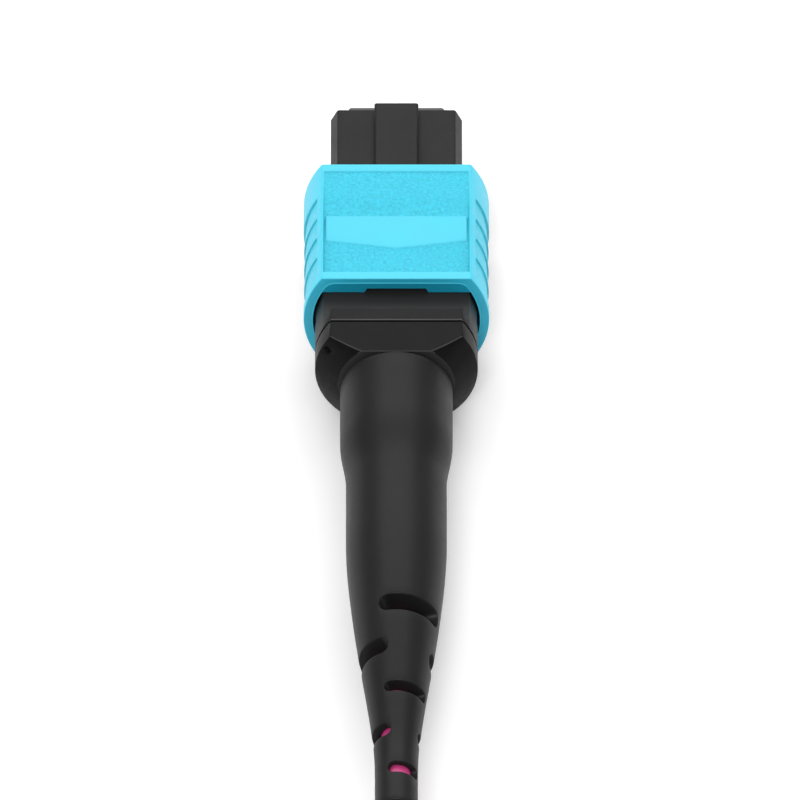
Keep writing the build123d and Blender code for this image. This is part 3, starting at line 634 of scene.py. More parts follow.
class Bench:
    """Makes, finishes and files meshes for the assemblies."""

    @staticmethod
    def linked(name: str, data: bpy.types.ID) -> bpy.types.Object:
        """Puts a mesh, curve, lamp or camera into the scene as an object."""
        thing = bpy.data.objects.new(name, data)
        bpy.context.scene.collection.objects.link(thing)
        return thing

    @staticmethod
    def evaluated(thing: bpy.types.Object) -> bpy.types.Mesh:
        """Plain mesh of an object as its modifiers or its curve make it."""
        bpy.context.view_layer.update()
        graph = bpy.context.evaluated_depsgraph_get()
        return bpy.data.meshes.new_from_object(thing.evaluated_get(graph))

    @staticmethod
    def piece(name: str, mesh: bpy.types.Mesh, finish: Finish, body: Body, slot: str) -> bpy.types.Object:
        """Turns a finished mesh into a piece that rides on a body.

        Args:
            name: Name of the piece.
            mesh: Its mesh, already in place.
            finish: The finish it is dressed with.
            body: The body it moves with.
            slot: The record's material slot; not used.

        Returns:
            The piece.
        """
        thing = Bench.linked(name, mesh)
        mesh.materials.clear()
        mesh.materials.append(finish.build())
        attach(thing, body.value)
        LOG.info("%s: %d faces", name, len(mesh.polygons))
        return thing

    @staticmethod
    def mesh(
        name: str,
        points: Iterable[Sequence[float]],
        faces: Iterable[Sequence[int]],
        marks: dict[str, Sequence[float]] | None = None,
    ) -> bpy.types.Mesh:
        """Builds a closed mesh from points in millimetres.

        Args:
            name: Name of the mesh.
            points: X, Y and Z of each point, in millimetres.
            faces: Point numbers of each face.
            marks: Values of the points by the name under which the mesh carries them.

        Returns:
            The mesh, welded, with its faces outwards.
        """
        mesh = bpy.data.meshes.new(name)
        mesh.from_pydata([[c * MM for c in p] for p in points], [], [list(f) for f in faces])
        for mark, values in (marks or {}).items():
            mesh.attributes.new(mark, "FLOAT", "POINT").data.foreach_set("value", values)
        work = bmesh.new()
        work.from_mesh(mesh)
        bmesh.ops.remove_doubles(work, verts=work.verts, dist=WELD)
        bmesh.ops.dissolve_degenerate(work, edges=work.edges, dist=SLIVER)
        bmesh.ops.recalc_face_normals(work, faces=work.faces)
        work.to_mesh(mesh)
        work.free()
        return mesh

    @staticmethod
    def softened(mesh: bpy.types.Mesh, angle: float) -> bpy.types.Mesh:
        """Shades a mesh smooth, apart from edges sharper than an angle in degrees."""
        mesh.shade_smooth()
        mesh.set_sharp_from_angle(angle=math.radians(angle))
        return mesh

    @staticmethod
    def settled(mesh: bpy.types.Mesh, edge: float = 0.0, angle: float = 30.0) -> bpy.types.Mesh:
        """Rounds a mesh's sharp edges and gives it normals that keep broad faces flat.

        Args:
            mesh: The mesh, used up.
            edge: Width of the rounding in millimetres, 0 for none.
            angle: Edges sharper than this angle in degrees are rounded, or stay sharp without rounding.

        Returns:
            The new mesh, which says in "edge" which of its faces are roundings.
        """
        holder = Bench.linked("settling_holder", mesh)
        if edge:
            mesh.shade_smooth()
            mesh.materials.clear()
            mesh.materials.append(None)
            mesh.materials.append(None)
            bevel = holder.modifiers.new("edge", "BEVEL")
            bevel.width = edge * MM
            bevel.segments = 2
            bevel.limit_method = "ANGLE"
            bevel.angle_limit = math.radians(angle)
            bevel.material = 1
            bevel.use_clamp_overlap = False
        else:
            Bench.softened(mesh, angle)
        weighted = holder.modifiers.new("weighted", "WEIGHTED_NORMAL")
        weighted.mode = "FACE_AREA"
        weighted.weight = 60
        weighted.keep_sharp = True
        done = Bench.evaluated(holder)
        bpy.data.objects.remove(holder)
        if edge:
            rounded = done.attributes.new("edge", "FLOAT", "FACE")
            for face in done.polygons:
                rounded.data[face.index].value = float(face.material_index)
                face.material_index = 0
        return done

    @staticmethod
    def eased_copy(node: str, edge: float, flat: float = 0.5) -> bpy.types.Mesh:
        """Copies a CAD node's mesh and rounds its edges as a mould or a tool leaves them.

        Args:
            node: Name of the CAD node.
            edge: Width of the rounding in millimetres.
            flat: Faces that meet within this angle in degrees are joined first.

        Returns:
            The new mesh.
        """
        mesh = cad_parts[node].data.copy()
        mesh.name = node + "_dressed"
        work = bmesh.new()
        work.from_mesh(mesh)
        bmesh.ops.remove_doubles(work, verts=work.verts, dist=WELD)
        sides = {"verts": work.verts, "edges": work.edges, "use_dissolve_boundaries": False}
        bmesh.ops.dissolve_limit(work, angle_limit=math.radians(flat), **sides)
        work.to_mesh(mesh)
        work.free()
        return Bench.settled(mesh, edge)

    @staticmethod
    def dress_node(node: str, finish: Finish) -> None:
        """Gives a CAD node that stays in sight its finish."""
        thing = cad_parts[node]
        thing.data.materials.clear()
        thing.data.materials.append(finish.build())


class Outline:
    """Cross-section helpers: quarter outlines from the top's middle to the side."""

    @staticmethod
    def resample(path: Sequence[Point2], count: int) -> list[Point2]:
        """Spaces points evenly along a path.

        Args:
            path: Corners of the path.
            count: Number of intervals.

        Returns:
            count points, the last of the path left out.
        """
        corners = np.array(path, float)
        lengths = np.r_[0, np.cumsum(np.linalg.norm(np.diff(corners, axis=0), axis=1))]
        stops = np.linspace(0, lengths[-1], count + 1)[:-1]
        across, up = (np.interp(stops, lengths, corners[:, axis]).tolist() for axis in (0, 1))
        return list(zip(across, up))

    @staticmethod
    def arc(centre: Point2, radius: float, start: float, end: float, count: int = 24) -> list[Point2]:
        """Points along an arc, from one angle to another in degrees."""
        angles = np.radians(np.linspace(start, end, count + 1))
        return [(centre[0] + radius * math.cos(a), centre[1] + radius * math.sin(a)) for a in angles]

    @staticmethod
    def inset(quarter: Sequence[Point2], amount: float) -> list[Point2]:
        """Moves a quarter outline inwards along its normals.

        Args:
            quarter: Points from the top's middle to the side.
            amount: Distance inwards, in millimetres.

        Returns:
            The moved points, which stay on the two mirror planes.
        """
        line = np.array(quarter, float)
        before = np.vstack([(-line[1][0], line[1][1]), line[:-1]])
        after = np.vstack([line[1:], (line[-2][0], -line[-2][1])])
        along = after - before
        along /= np.linalg.norm(along, axis=1)[:, None]
        inward = np.c_[along[:, 1], -along[:, 0]]
        moved = line + inward * amount
        moved[0][0], moved[-1][1] = 0.0, 0.0
        return [tuple(p) for p in moved]

    @staticmethod
    def grown(points: Sequence[Point2], by: float) -> list[Point2]:
        """Scales a quarter outline so that its side moves outwards by a distance."""
        factor = 1 + by / points[-1][0]
        return [(x * factor, z * factor) for x, z in points]


@dataclass
class Coupler:
    """Sliding outer housing with finger panels, side grips and a notched rear ledge.

    Walls are given as the top's, the flank's and the corner radius between them.
    """

    front: float = 8.07
    length: float = 10.88
    half_width: float = 6.2
    half_height: float = 3.85
    arc_radius: float = 6.7
    outer_walls: Point3 = (0.0, 0.0, 0.16)
    rim_walls: Point3 = (0.42, 0.64, 0.8)
    cavity_walls: Point3 = (0.70, 0.62, 0.3)
    band: float = 0.70
    panel_half: float = 4.85
    panel_drops: tuple[float, float, float, float] = (0.06, 0.12, 0.30, 0.36)
    panel_middle: float = 3.17
    panel_curve: float = 0.7
    panel_fades: Point3 = (0.08, 0.02, 0.03)
    plate_half: float = 4.73
    plate_start: float = 4.85
    plate_side_end: float = 7.00
    plate_point_end: float = 7.72
    plate_drops: Point2 = (0.08, 0.26)
    plate_fades: Point3 = (0.015, 0.02, 0.07)
    plate_side: float = 0.03
    bend_reach: float = 0.6
    bend_margin: float = 0.02
    grip_count: int = 4
    grip_pitch: float = 1.85
    grip_depth: float = 0.12
    grip_crest: float = 0.03
    grip_half_height: float = 3.3
    grip_gap: float = 0.02
    grip_fades: tuple[float, float, float, float] = (0.009, 0.03, 0.04, 0.05)
    tooth_step: float = 0.005
    rim_depth: float = 0.12
    ridge: float = 0.09
    ridge_insets: Point3 = (-0.075, -0.05, -0.02)
    ledge: float = 0.93
    ledge_edge: float = 0.03
    pocket_edge: float = 0.01
    opening_radius: float = 5.53
    opening_half: float = 2.45
    notch_half: float = 1.95
    notch_top: float = 2.80
    cavity_edge: float = 0.05
    cavity_margin: float = 0.5
    front_edge: float = 0.06
    lug_x: Point2 = (4.50, 5.75)
    lug_depth: Point2 = (10.2, 11.2)
    lug_half_height: float = 0.47
    edge: float = 0.06
    edge_steps: tuple[Point2, ...] = ((1.0, 0.0), (0.45, 0.12), (0.12, 0.45), (0.0, 1.0))
    soft: float = 0.05
    edge_steps_out: Point3 = (0.02, 0.045, 0.08)
    tooth_steps_out: Point2 = (0.010, 0.04)
    plain_count: int = 30
    plain_margin: float = 0.3
    least_step: float = 0.006
    level: float = 1e-6
    cut: float = 0.01
    panel_stations: tuple[float, ...] = (-0.05, -0.015, 0.015, 0.05)
    grip_stations: tuple[float, ...] = (0.05, 0.02, -0.01, -0.04)
    top_counts: tuple[int, int, int] = (8, 3, 10)
    corner_count: int = 5
    flank_count: int = 24
    cavity_count: int = 12
    fine_arc: int = 60
    grip_mask: float = 0.5
    # Painted shade on the rim's face and, darker, in the pocket and on the ledge.
    rim_painted_shade: float = -0.6
    recess_painted_shade: float = -1.0

    @property
    def rear(self) -> float:
        """Depth of the rear end."""
        return self.front + self.length

    @property
    def panel_start(self) -> float:
        """Depth at which the finger panel starts, behind the front band."""
        return self.front + self.band

    @property
    def panel_end(self) -> float:
        """Depth at which the finger panel ends, before the rear band."""
        return self.rear - self.band

    @property
    def plate_foot(self) -> float:
        """Depth of the plate's front edge."""
        return self.front + self.plate_start

    @property
    def plate_end(self) -> float:
        """Depth of the plate's rear edge before it is bent to a V."""
        return self.front + (self.plate_side_end + self.plate_point_end) / 2

    @property
    def grip_end(self) -> float:
        """Depth of the last grip's end."""
        return self.panel_end - self.grip_gap

    @property
    def grip_start(self) -> float:
        """Depth of the first grip's start."""
        return self.grip_end - self.grip_count * self.grip_pitch

    @property
    def ledge_rear(self) -> float:
        """Depth of the ledge's rear face, within the rim."""
        return self.rear - self.rim_depth

    @property
    def ledge_front(self) -> float:
        """Depth of the ledge's front face, where the cavity ends."""
        return self.ledge_rear - self.ledge

    def section(self, walls: Point3) -> tuple[Point2, list[Point2], list[Point2]]:
        """Quarter of the bulging section, with the given walls taken off.

        Args:
            walls: Distances that the top and the round flank move inwards, and the corner's radius.

        Returns:
            The end of the flat top, the corner's arc, and the flank's arc down to the side.
        """
        inset_top, inset_side, corner = walls
        radius = self.arc_radius - inset_side
        middle_x = self.half_width - self.arc_radius
        top = self.half_height - inset_top
        centre_z = top - corner
        centre_x = middle_x + math.sqrt((radius - corner) ** 2 - centre_z**2)
        angle = math.degrees(math.atan2(centre_z, centre_x - middle_x))
        arc = Outline.arc((centre_x, centre_z), corner, 90, angle)
        return (centre_x, top), arc, Outline.arc((middle_x, 0), radius, angle, 0, self.fine_arc)

    def top_stations(self, end: float) -> list[float]:
        """X of the points along a flat top, closer together at the notch's slanted side."""
        foot = self.notch_half + (self.notch_top - self.opening_half) / 2
        stops = (0.0, self.notch_half, foot, end)
        parts = zip(stops, stops[1:], self.top_counts)
        return [float(x) for low, high, count in parts for x in np.linspace(low, high, count + 1)[:-1]]

    def ring(self, walls: Point3) -> list[Point2]:
        """Quarter outline with the shared number of points on top, corner and flank."""
        start, arc, rest = self.section(walls)
        return [
            *[(x, start[1]) for x in self.top_stations(start[0])],
            *Outline.resample(arc, self.corner_count),
            *Outline.resample(rest, self.flank_count),
            (rest[-1][0], 0.0),
        ]

    def opening(self, reach: float) -> list[Point2]:
        """Quarter outline of the rear ledge's notched opening.

        Args:
            reach: X at which the rim's flat top ends, so that the points face each other.

        Returns:
            The outline, with as many points as a ring.
        """
        half = self.opening_half
        corner_x = math.sqrt(self.opening_radius**2 - half**2)
        middle = (reach + corner_x) / 2
        angle = math.degrees(math.asin(half / self.opening_radius))
        arc = Outline.arc((0, 0), self.opening_radius, angle, 0, self.fine_arc)
        rise = self.notch_top - half
        top = []
        for x in self.top_stations(reach):
            share = min(1.0, max(0.0, (x - self.notch_half) / (rise / 2)))
            top.append((x, self.notch_top - rise * share))
        spare = 3
        return [
            *top,
            *Outline.resample([(reach, half), (middle, half)], self.corner_count),
            *Outline.resample([(middle, half), (corner_x, half)], spare),
            *Outline.resample(arc, self.flank_count - spare),
            (self.opening_radius, 0.0),
        ]

    def outer_quarter(self) -> list[Point2]:
        """Outer outline, with points set at the panel's, plate's and grip's edges."""
        start, arc, rest = self.section(self.outer_walls)
        edges = [self.plate_half - self.cut, self.plate_half + self.plate_side]
        edges += [self.panel_half + d for d in self.panel_stations]
        plain = np.linspace(0, self.plate_half - self.soft, sum(self.top_counts) - len(edges) - 1)
        top = [(x, self.half_height) for x in [*plain, *edges, start[0]]]
        corner = Outline.resample(arc, self.corner_count)[1:]
        middle_x = self.half_width - self.arc_radius
        steps = [self.grip_half_height + d for d in self.grip_stations]
        flank = [(middle_x + math.sqrt(self.arc_radius**2 - z**2), z) for z in steps]
        below = [flank[-1], *[p for p in rest if p[1] < flank[-1][1] - self.cut]]
        low = Outline.resample(below, self.flank_count - len(flank) + 1)[1:]
        return [*top, *corner, arc[-1], *flank, *low, (self.half_width, 0.0)]

    def panel_drop(self, depth: float) -> float:
        """Drop of the panel's floor below the top, without the plate.

        Args:
            depth: Nominal depth.

        Returns:
            The drop in millimetres, 0 on the bands.
        """
        first, middle, plate, last = self.panel_drops
        dip = self.front + self.panel_middle
        if depth <= dip:
            floor = first + (middle - first) * max(0.0, depth - self.panel_start) / (dip - self.panel_start)
        elif depth <= self.plate_foot:
            floor = middle + (plate - middle) * ((depth - dip) / (self.plate_foot - dip)) ** self.panel_curve
        else:
            floor = plate + (last - plate) * (depth - self.plate_foot) / (self.panel_end - self.plate_foot)
        fade, before, behind = self.panel_fades
        opened = eased(depth, self.panel_start - fade, self.panel_start + fade)
        closed = eased(depth, self.panel_end - before, self.panel_end + behind)
        return floor * opened * (1 - closed)

    def plate_cover(self, depth: float) -> Point2:
        """Says how far the plate stands over the panel's floor.

        Args:
            depth: Nominal depth.

        Returns:
            Its share, 1 on the plate and 0 off it, and the plate's own drop below the top.
        """
        foot, end = self.plate_foot, self.plate_end
        before, behind, fade = self.plate_fades
        raised = eased(depth, foot - before, foot + behind) * (1 - eased(depth, end - fade, end + fade))
        first, last = self.plate_drops
        return raised, first + (last - first) * min(1.0, max(0.0, (depth - foot) / (end - foot)))

    def warped(self, depth: float, x: float) -> float:
        """Bends the rows so that the plate's rear edge makes a shallow V.

        Args:
            depth: Nominal depth.
            x: Distance from the middle plane.

        Returns:
            The true depth.
        """
        foot, end, rear = self.plate_foot, self.plate_end, self.panel_end
        if not foot + self.bend_margin < depth < rear - self.bend_margin:
            return depth
        share = min(1.0, abs(x) / self.plate_half)
        edge = self.front + self.plate_point_end + (self.plate_side_end - self.plate_point_end) * share
        reach = (depth - foot) / (end - foot) if depth < end else (rear - depth) / (rear - end)
        beyond = abs(x) - self.panel_half
        fade = 1.0 if beyond < 0 else max(0.0, 1 - beyond / self.bend_reach)
        return depth + (edge - end) * reach * fade

    def grip_drop(self, depth: float, z: float) -> float:
        """Says how far the flank's grip lies below the smooth flank.

        Args:
            depth: Nominal depth.
            z: Height from the axis.

        Returns:
            The distance in millimetres, 0 outside the grip.
        """
        first, last = self.grip_start, self.grip_end
        start, end, below, over = self.grip_fades
        zone = eased(depth, first - start, first + start) * (1 - eased(depth, last - end, last + end))
        zone *= 1 - eased(abs(z), self.grip_half_height - below, self.grip_half_height + over)
        tooth = (depth - first) / self.grip_pitch
        step = self.tooth_step
        near = tooth - round(tooth)
        if 0 < round(tooth) < self.grip_count and abs(near) < step:
            deep = eased(near, -step, step)
        else:
            deep = 1 - max(0.0, tooth - math.floor(tooth + step))
        return (self.grip_crest + self.grip_depth * deep) * zone

    def nominal_depths(self) -> list[float]:
        """Depths of the outer rows, close together at every edge."""
        margin = self.plain_margin
        stops = np.linspace(self.front + margin, self.rear - margin, self.plain_count).tolist()
        for edge in (self.panel_start, self.plate_foot, self.plate_end, self.panel_end):
            stops += [edge] + [edge + side * d for d in self.edge_steps_out for side in (-1, 1)]
        for index in range(self.grip_count + 1):
            tooth = self.grip_start + index * self.grip_pitch
            stops += [tooth] + [tooth + side * d for d in self.tooth_steps_out for side in (-1, 1)]
        kept: list[float] = []
        for stop in sorted(stops):
            if not kept or stop - kept[-1] > self.least_step:
                kept.append(stop)
        return kept

    @staticmethod
    def flat_row(points: Sequence[Point2], depth: float, mask: float = 0.0) -> Row:
        """Row of the shell at one depth, whose mask is below 0 where shade is painted, on the rim's face and
        in the recess.
        """
        return [(x, -depth, z) for x, z in points], [mask] * len(points)

    def shaped_row(self, outer: Sequence[Point2], depth: float) -> Row:
        """Row at a nominal depth that follows the panel, the plate and the grips.

        Args:
            outer: The smooth outer outline.
            depth: The row's nominal depth.

        Returns:
            The row's points, and how much grain each of them has.
        """
        raised, plate = self.plate_cover(depth)
        floor = self.panel_drop(depth)
        inside = self.panel_start < depth < self.panel_end
        row, mask = [], []
        for x, z in outer:
            bent = x < self.panel_half + self.bend_reach and z > self.grip_half_height
            true_depth = self.warped(depth, x) if bent else depth
            if z >= self.half_height - self.level and x <= self.panel_half + self.soft + self.cut:
                within = 1 - eased(x, self.panel_half - self.soft, self.panel_half + self.soft)
                plate_edge = self.plate_half + self.plate_side
                on_plate = (1 - eased(x, self.plate_half - self.soft, plate_edge)) * raised
                row.append((x, -true_depth, z - within * (floor + (plate - floor) * on_plate)))
                mask.append(within * (1 - on_plate) if inside else 0.0)
            else:
                shift = self.grip_drop(depth, z) if z < self.grip_half_height + 2 * self.soft else 0.0
                row.append((x - shift, -true_depth, z))
                mask.append(self.grip_mask if shift > self.cut else 0.0)
        return row, mask

    def outer_rows(self) -> list[Row]:
        """Rows from the rounded front edge over the outside to the rim's rear face."""
        outer = self.outer_quarter()
        rounding = [(Outline.inset(outer, self.edge * x), self.edge * back, x) for x, back in self.edge_steps]
        rows = [self.flat_row(points, self.front + back) for points, back, _ in rounding]
        rows += [self.shaped_row(outer, depth) for depth in self.nominal_depths()]
        # The last row, on the rim's face, carries painted shade.
        for points, back, share in reversed(rounding):
            rows.append(self.flat_row(points, self.rear - back, self.rim_painted_shade if share == 1.0 else 0.0))
        return rows

    def rear_rows(self) -> list[Row]:
        """Rows of the raised line round the rim, the pocket in it and the ledge's opening."""
        pocket = self.ring(self.rim_walls)
        hole = self.opening(pocket[sum(self.top_counts)][0])
        wide = Outline.grown(hole, self.ledge_edge)
        outside, crest, inside = (Outline.inset(pocket, amount) for amount in self.ridge_insets)
        # Painted shade: the rim's face is darker, and the pocket and the ledge darker still.
        deep = self.recess_painted_shade
        return [
            self.flat_row(outside, self.rear, self.rim_painted_shade),
            self.flat_row(crest, self.rear + self.ridge),
            self.flat_row(inside, self.rear + self.ridge),
            self.flat_row(pocket, self.rear),
            self.flat_row(pocket, self.ledge_rear + self.pocket_edge, deep),
            self.flat_row(Outline.inset(pocket, self.pocket_edge), self.ledge_rear, deep),
            self.flat_row(wide, self.ledge_rear, deep),
            self.flat_row(hole, self.ledge_rear - self.ledge_edge, deep),
            self.flat_row(hole, self.ledge_front + self.ledge_edge, deep),
            self.flat_row(wide, self.ledge_front, deep),
        ]

    def cavity_rows(self) -> list[Row]:
        """Rows of the cavity, from the ledge to the rounded edge at the front."""
        cavity = self.ring(self.cavity_walls)
        margin = self.cavity_margin
        middle = np.linspace(self.ledge_front - margin, self.front + margin, self.cavity_count)
        return [
            self.flat_row(Outline.inset(cavity, self.cavity_edge), self.ledge_front),
            self.flat_row(cavity, self.ledge_front - self.cavity_edge),
            *[self.flat_row(cavity, float(depth)) for depth in middle],
            self.flat_row(cavity, self.front + self.front_edge),
            self.flat_row(Outline.inset(cavity, -self.front_edge / 4), self.front + self.front_edge / 4),
            self.flat_row(Outline.inset(cavity, -self.front_edge), self.front),
        ]

    def lug(self, side: int, first: int) -> tuple[list[Point3], list[list[int]]]:
        """Block that a coupler spring pushes against.

        Args:
            side: -1 for the left one and 1 for the right one.
            first: Number of its first point in the mesh.

        Returns:
            Its points and faces.
        """
        high = self.lug_half_height
        corners = product(self.lug_x, self.lug_depth, (-high, high))
        points = [(side * x, -depth, z) for x, depth, z in corners]
        quads = ((0, 1, 3, 2), (4, 6, 7, 5), (0, 4, 5, 1), (2, 3, 7, 6), (0, 2, 6, 4), (1, 5, 7, 3))
        return points, [[first + corner for corner in quad] for quad in quads]

    def build_mesh(self) -> bpy.types.Mesh:
        """Mirrors the quarter rows into the closed shell and adds the two spring lugs."""
        rows = self.outer_rows() + self.rear_rows() + self.cavity_rows()
        if len({len(row) for row, _ in rows}) != 1:
            raise ValueError("the coupler's rows differ in their number of points")
        points: list[Point3] = []
        masks: list[float] = []
        for row, mask in rows:
            above = list(zip(row, mask))
            right = above + [((x, y, -z), m) for (x, y, z), m in reversed(above[:-1])]
            left = [((-x, y, z), m) for (x, y, z), m in reversed(right[1:-1])]
            for place, value in right + left:
                points.append(place)
                masks.append(value)
        count = len(points) // len(rows)
        faces = []
        for i in range(len(rows)):
            here, there = i * count, (i + 1) % len(rows) * count
            for k in range(count):
                m = (k + 1) % count
                faces.append((here + k, here + m, there + m, there + k))
        for side in (-1, 1):
            corners, quads = self.lug(side, len(points))
            points += corners
            masks += [0.0] * len(corners)
            faces += quads
        values = np.array(masks, np.float32)
        # Marks below 0 become painted shade.
        marks = {"grain": np.maximum(values, 0), "recess": np.maximum(-values, 0)}
        return Bench.settled(Bench.mesh("coupler_shell", points, faces, marks), angle=38.0)

    def build(self) -> None:
        """Builds the coupler and files it in place of its CAD node."""
        shell = Bench.piece("coupler_shell", self.build_mesh(), AQUA, Body.COUPLER, Slot.COUPLER.value)
        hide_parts("coupler")


@dataclass
class StrainBoot:
    """Tapered rubber boot with rounded slots, two to a ring.

    Depths are behind the boot's front. The register, root, waist, knees and bore pair a depth
    with a radius, and the slots' edges a distance outside the slot with one below the skin.
    """

    front: float = 25.66
    length: float = 39.33
    register: Point2 = (0.46, 3.22)
    root: Point2 = (5.13, 3.75)
    waist_start: float = 8.93
    waist_end: Point2 = (14.43, 3.35)
    knees: tuple[Point2, ...] = ((21.53, 2.90), (32.93, 1.55), (37.0, 1.42))
    lip: float = 0.15
    lip_steps: Point3 = (0.0, 0.02, 0.06)
    bore: tuple[Point2, ...] = (
        (0.0, 2.93), (7.2, 2.93), (8.6, 1.67), (12.5, 1.67), (13.3, 1.05), (39.33, 1.05),
    )
    slot_first: float = 22.43
    slot_pitch: float = 3.475
    slot_widths: tuple[float, ...] = (1.35, 1.26, 0.85, 1.00, 0.95)
    slot_sweep: float = 102.0
    slot_turn: float = 26.0
    slot_margin: float = 0.95
    slot_fade: float = 0.25
    outer_edge: tuple[Point2, ...] = ((0.10, 0.0), (0.035, 0.010), (0.010, 0.03), (0.0, 0.065))
    inner_edge: tuple[Point2, ...] = ((0.05, 0.0), (0.0, 0.0))
    steps: int = 180
    first_angle: float = 1.0
    register_gap: float = 0.001
    outer_count: int = 70
    outer_margin: float = 0.5
    inner_count: int = 36
    inner_margin: float = 1.0
    smooth: float = 40.0

    @property
    def angles(self) -> list[float]:
        """Angles from the top of the points in a row, in degrees."""
        return [self.first_angle + 360 / self.steps * k for k in range(self.steps)]

    def spaced(self, margin: float, count: int) -> list[float]:
        """Evenly spaced depths, a margin away from both ends."""
        return np.linspace(margin, self.length - margin, count).tolist()

    def rounded(self, radius: float, left: float) -> float:
        """Radius of an end's lip, at a distance from that end."""
        return radius - self.lip + math.sqrt(max(0.0, self.lip**2 - (self.lip - left) ** 2))

    def outer_radius(self, depth: float) -> float:
        """Outer radius of the boot.

        Args:
            depth: Depth behind the front, below 0 on the register.

        Returns:
            The radius there.
        """
        root_end, radius = self.root
        waist_end, waist = self.waist_end
        if depth < 0:
            return self.register[1]
        if depth < self.lip:
            return self.rounded(radius, depth)
        if depth > self.length - self.lip:
            return self.rounded(self.knees[-1][1], self.length - depth)
        if depth <= root_end:
            return radius
        if depth <= self.waist_start:
            return radius + (waist - radius) * eased(depth, root_end, self.waist_start)
        return waist if depth <= waist_end else self.tapered(depth)

    def tapered(self, depth: float) -> float:
        """Smooth curve through the waist's end and the knees, level at both ends.

        Args:
            depth: Depth behind the front.

        Returns:
            The radius there.
        """
        xs, ys = np.array([self.waist_end, *self.knees]).T
        slopes = np.zeros(len(xs))
        slopes[1:-1] = (ys[2:] - ys[:-2]) / (xs[2:] - xs[:-2])
        if depth >= xs[-1]:
            return float(ys[-1])
        i = max(0, int(np.searchsorted(xs, depth)) - 1)
        h = xs[i + 1] - xs[i]
        t = (depth - xs[i]) / h
        start = (2 * t**3 - 3 * t**2 + 1) * ys[i] + (t**3 - 2 * t**2 + t) * h * slopes[i]
        end = (-2 * t**3 + 3 * t**2) * ys[i + 1] + (t**3 - t**2) * h * slopes[i + 1]
        return float(start + end)

    def bore_radius(self, depth: float) -> float:
        """Radius of the bore at a depth."""
        depths, radii = zip(*self.bore)
        return float(np.interp(depth, depths, radii))

    def slot_depth(self, index: int) -> float:
        """Depth of a ring's middle."""
        return self.slot_first + index * self.slot_pitch

    def slot_half(self, index: int, angle: float) -> float:
        """Half the slot's width at an angle, 0 outside it.

        Args:
            index: Number of the ring of slots.
            angle: Angle from the top, in degrees.

        Returns:
            Half the width there, in millimetres.
        """
        half = self.slot_widths[index] / 2
        middle = self.slot_turn + 90 * (index % 2)
        away = (angle - middle + 90) % 180 - 90
        left = math.radians(1) * self.outer_radius(self.slot_depth(index))
        reach = (self.slot_sweep / 2 - abs(away)) * left
        if reach <= 1e-6:
            return 0.0
        return half if reach >= half else math.sqrt(half**2 - (half - reach) ** 2)

    def ring(self, places: Iterable[Point2]) -> list[Point3]:
        """Row round the boot.

        Args:
            places: Depth and radius at each of its angles.

        Returns:
            The row's points.
        """
        row = []
        for angle, (depth, radius) in zip(self.angles, places):
            a = math.radians(angle)
            row.append((radius * math.sin(a), -(self.front + depth), radius * math.cos(a)))
        return row

    def edge_row(self, radius_at: Skin, slot: int, side: int, edge: Point2) -> list[Point3]:
        """Row along one side of a ring of slots.

        Args:
            radius_at: The skin's radius at a depth.
            slot: Number of the ring.
            side: -1 for the front side and 1 for the rear side.
            edge: Distance outside the slot, and below the skin.

        Returns:
            The row's points.
        """
        out, down = edge
        places = []
        for angle in self.angles:
            half = self.slot_half(slot, angle)
            depth = self.slot_depth(slot) + side * (half + out)
            places.append((depth, radius_at(depth) - down * min(1.0, half / self.slot_fade)))
        return self.ring(places)

    def skin(
        self, radius_at: Skin, plain: list[float], edge: Sequence[Point2]
    ) -> tuple[list[list[Point3]], list[int]]:
        """Rows of one skin, with the slots' edges in it.

        Args:
            radius_at: The skin's radius at a depth.
            plain: Depths of its plain rows, which are left out at the slots.
            edge: Rows of a slot's edge: distance outside the slot, and below the skin.

        Returns:
            The rows, and the numbers of the last row in front of each ring of slots.
        """
        rows: list[list[Point3]] = []
        splits = []
        low = -1.0
        for slot in range(len(self.slot_widths)):
            high = self.slot_depth(slot) - self.slot_margin
            rows += [self.ring([(d, radius_at(d))] * self.steps) for d in plain if low < d < high]
            rows += [self.edge_row(radius_at, slot, -1, step) for step in edge]
            splits.append(len(rows) - 1)
            rows += [self.edge_row(radius_at, slot, 1, step) for step in reversed(edge)]
            low = self.slot_depth(slot) + self.slot_margin
        rows += [self.ring([(d, radius_at(d))] * self.steps) for d in plain if d > low]
        return rows, splits

    def strip(self, first: int, second: int, slot: int | None = None) -> list[tuple[int, ...]]:
        """Faces between two rows.

        Args:
            first: Number of the one row.
            second: Number of the other row.
            slot: Number of a ring of slots to whose openings the faces are kept.

        Returns:
            Point numbers of each face.
        """
        n = self.steps
        open_at = [slot is None or self.slot_half(slot, angle) > 0 for angle in self.angles]
        pairs = [(k, (k + 1) % n) for k in range(n)]
        kept = [(k, m) for k, m in pairs if open_at[k] or open_at[m]]
        return [(first * n + k, first * n + m, second * n + m, second * n + k) for k, m in kept]

    def build_mesh(self) -> bpy.types.Mesh:
        """Outer and inner skins with the slots let through them."""
        lip = [*self.lip_steps, self.lip]
        ends = [-self.register[0], -self.register_gap, *lip, *[self.length - d for d in lip]]
        outer_plain = sorted([*ends, *self.spaced(self.outer_margin, self.outer_count)])
        stops = [-self.register[0], *[depth for depth, _ in self.bore]]
        inner_plain = sorted([*stops, *self.spaced(self.inner_margin, self.inner_count)])
        outer, outer_splits = self.skin(self.outer_radius, outer_plain, self.outer_edge)
        inner, inner_splits = self.skin(self.bore_radius, inner_plain, self.inner_edge)
        base = len(outer)
        inner_splits = [base + split for split in inner_splits]
        rows = outer + inner
        faces = []
        for row in range(len(rows) - 1):
            if row != base - 1 and row not in outer_splits and row not in inner_splits:
                faces += self.strip(row, row + 1)
        for slot, (outside, inside) in enumerate(zip(outer_splits, inner_splits)):
            faces += self.strip(outside, inside, slot)
            faces += self.strip(outside + 1, inside + 1, slot)
        faces += self.strip(0, base)
        faces += self.strip(base - 1, len(rows) - 1)
        mesh = Bench.mesh("strain_boot", [point for row in rows for point in row], faces)
        return Bench.softened(mesh, self.smooth)

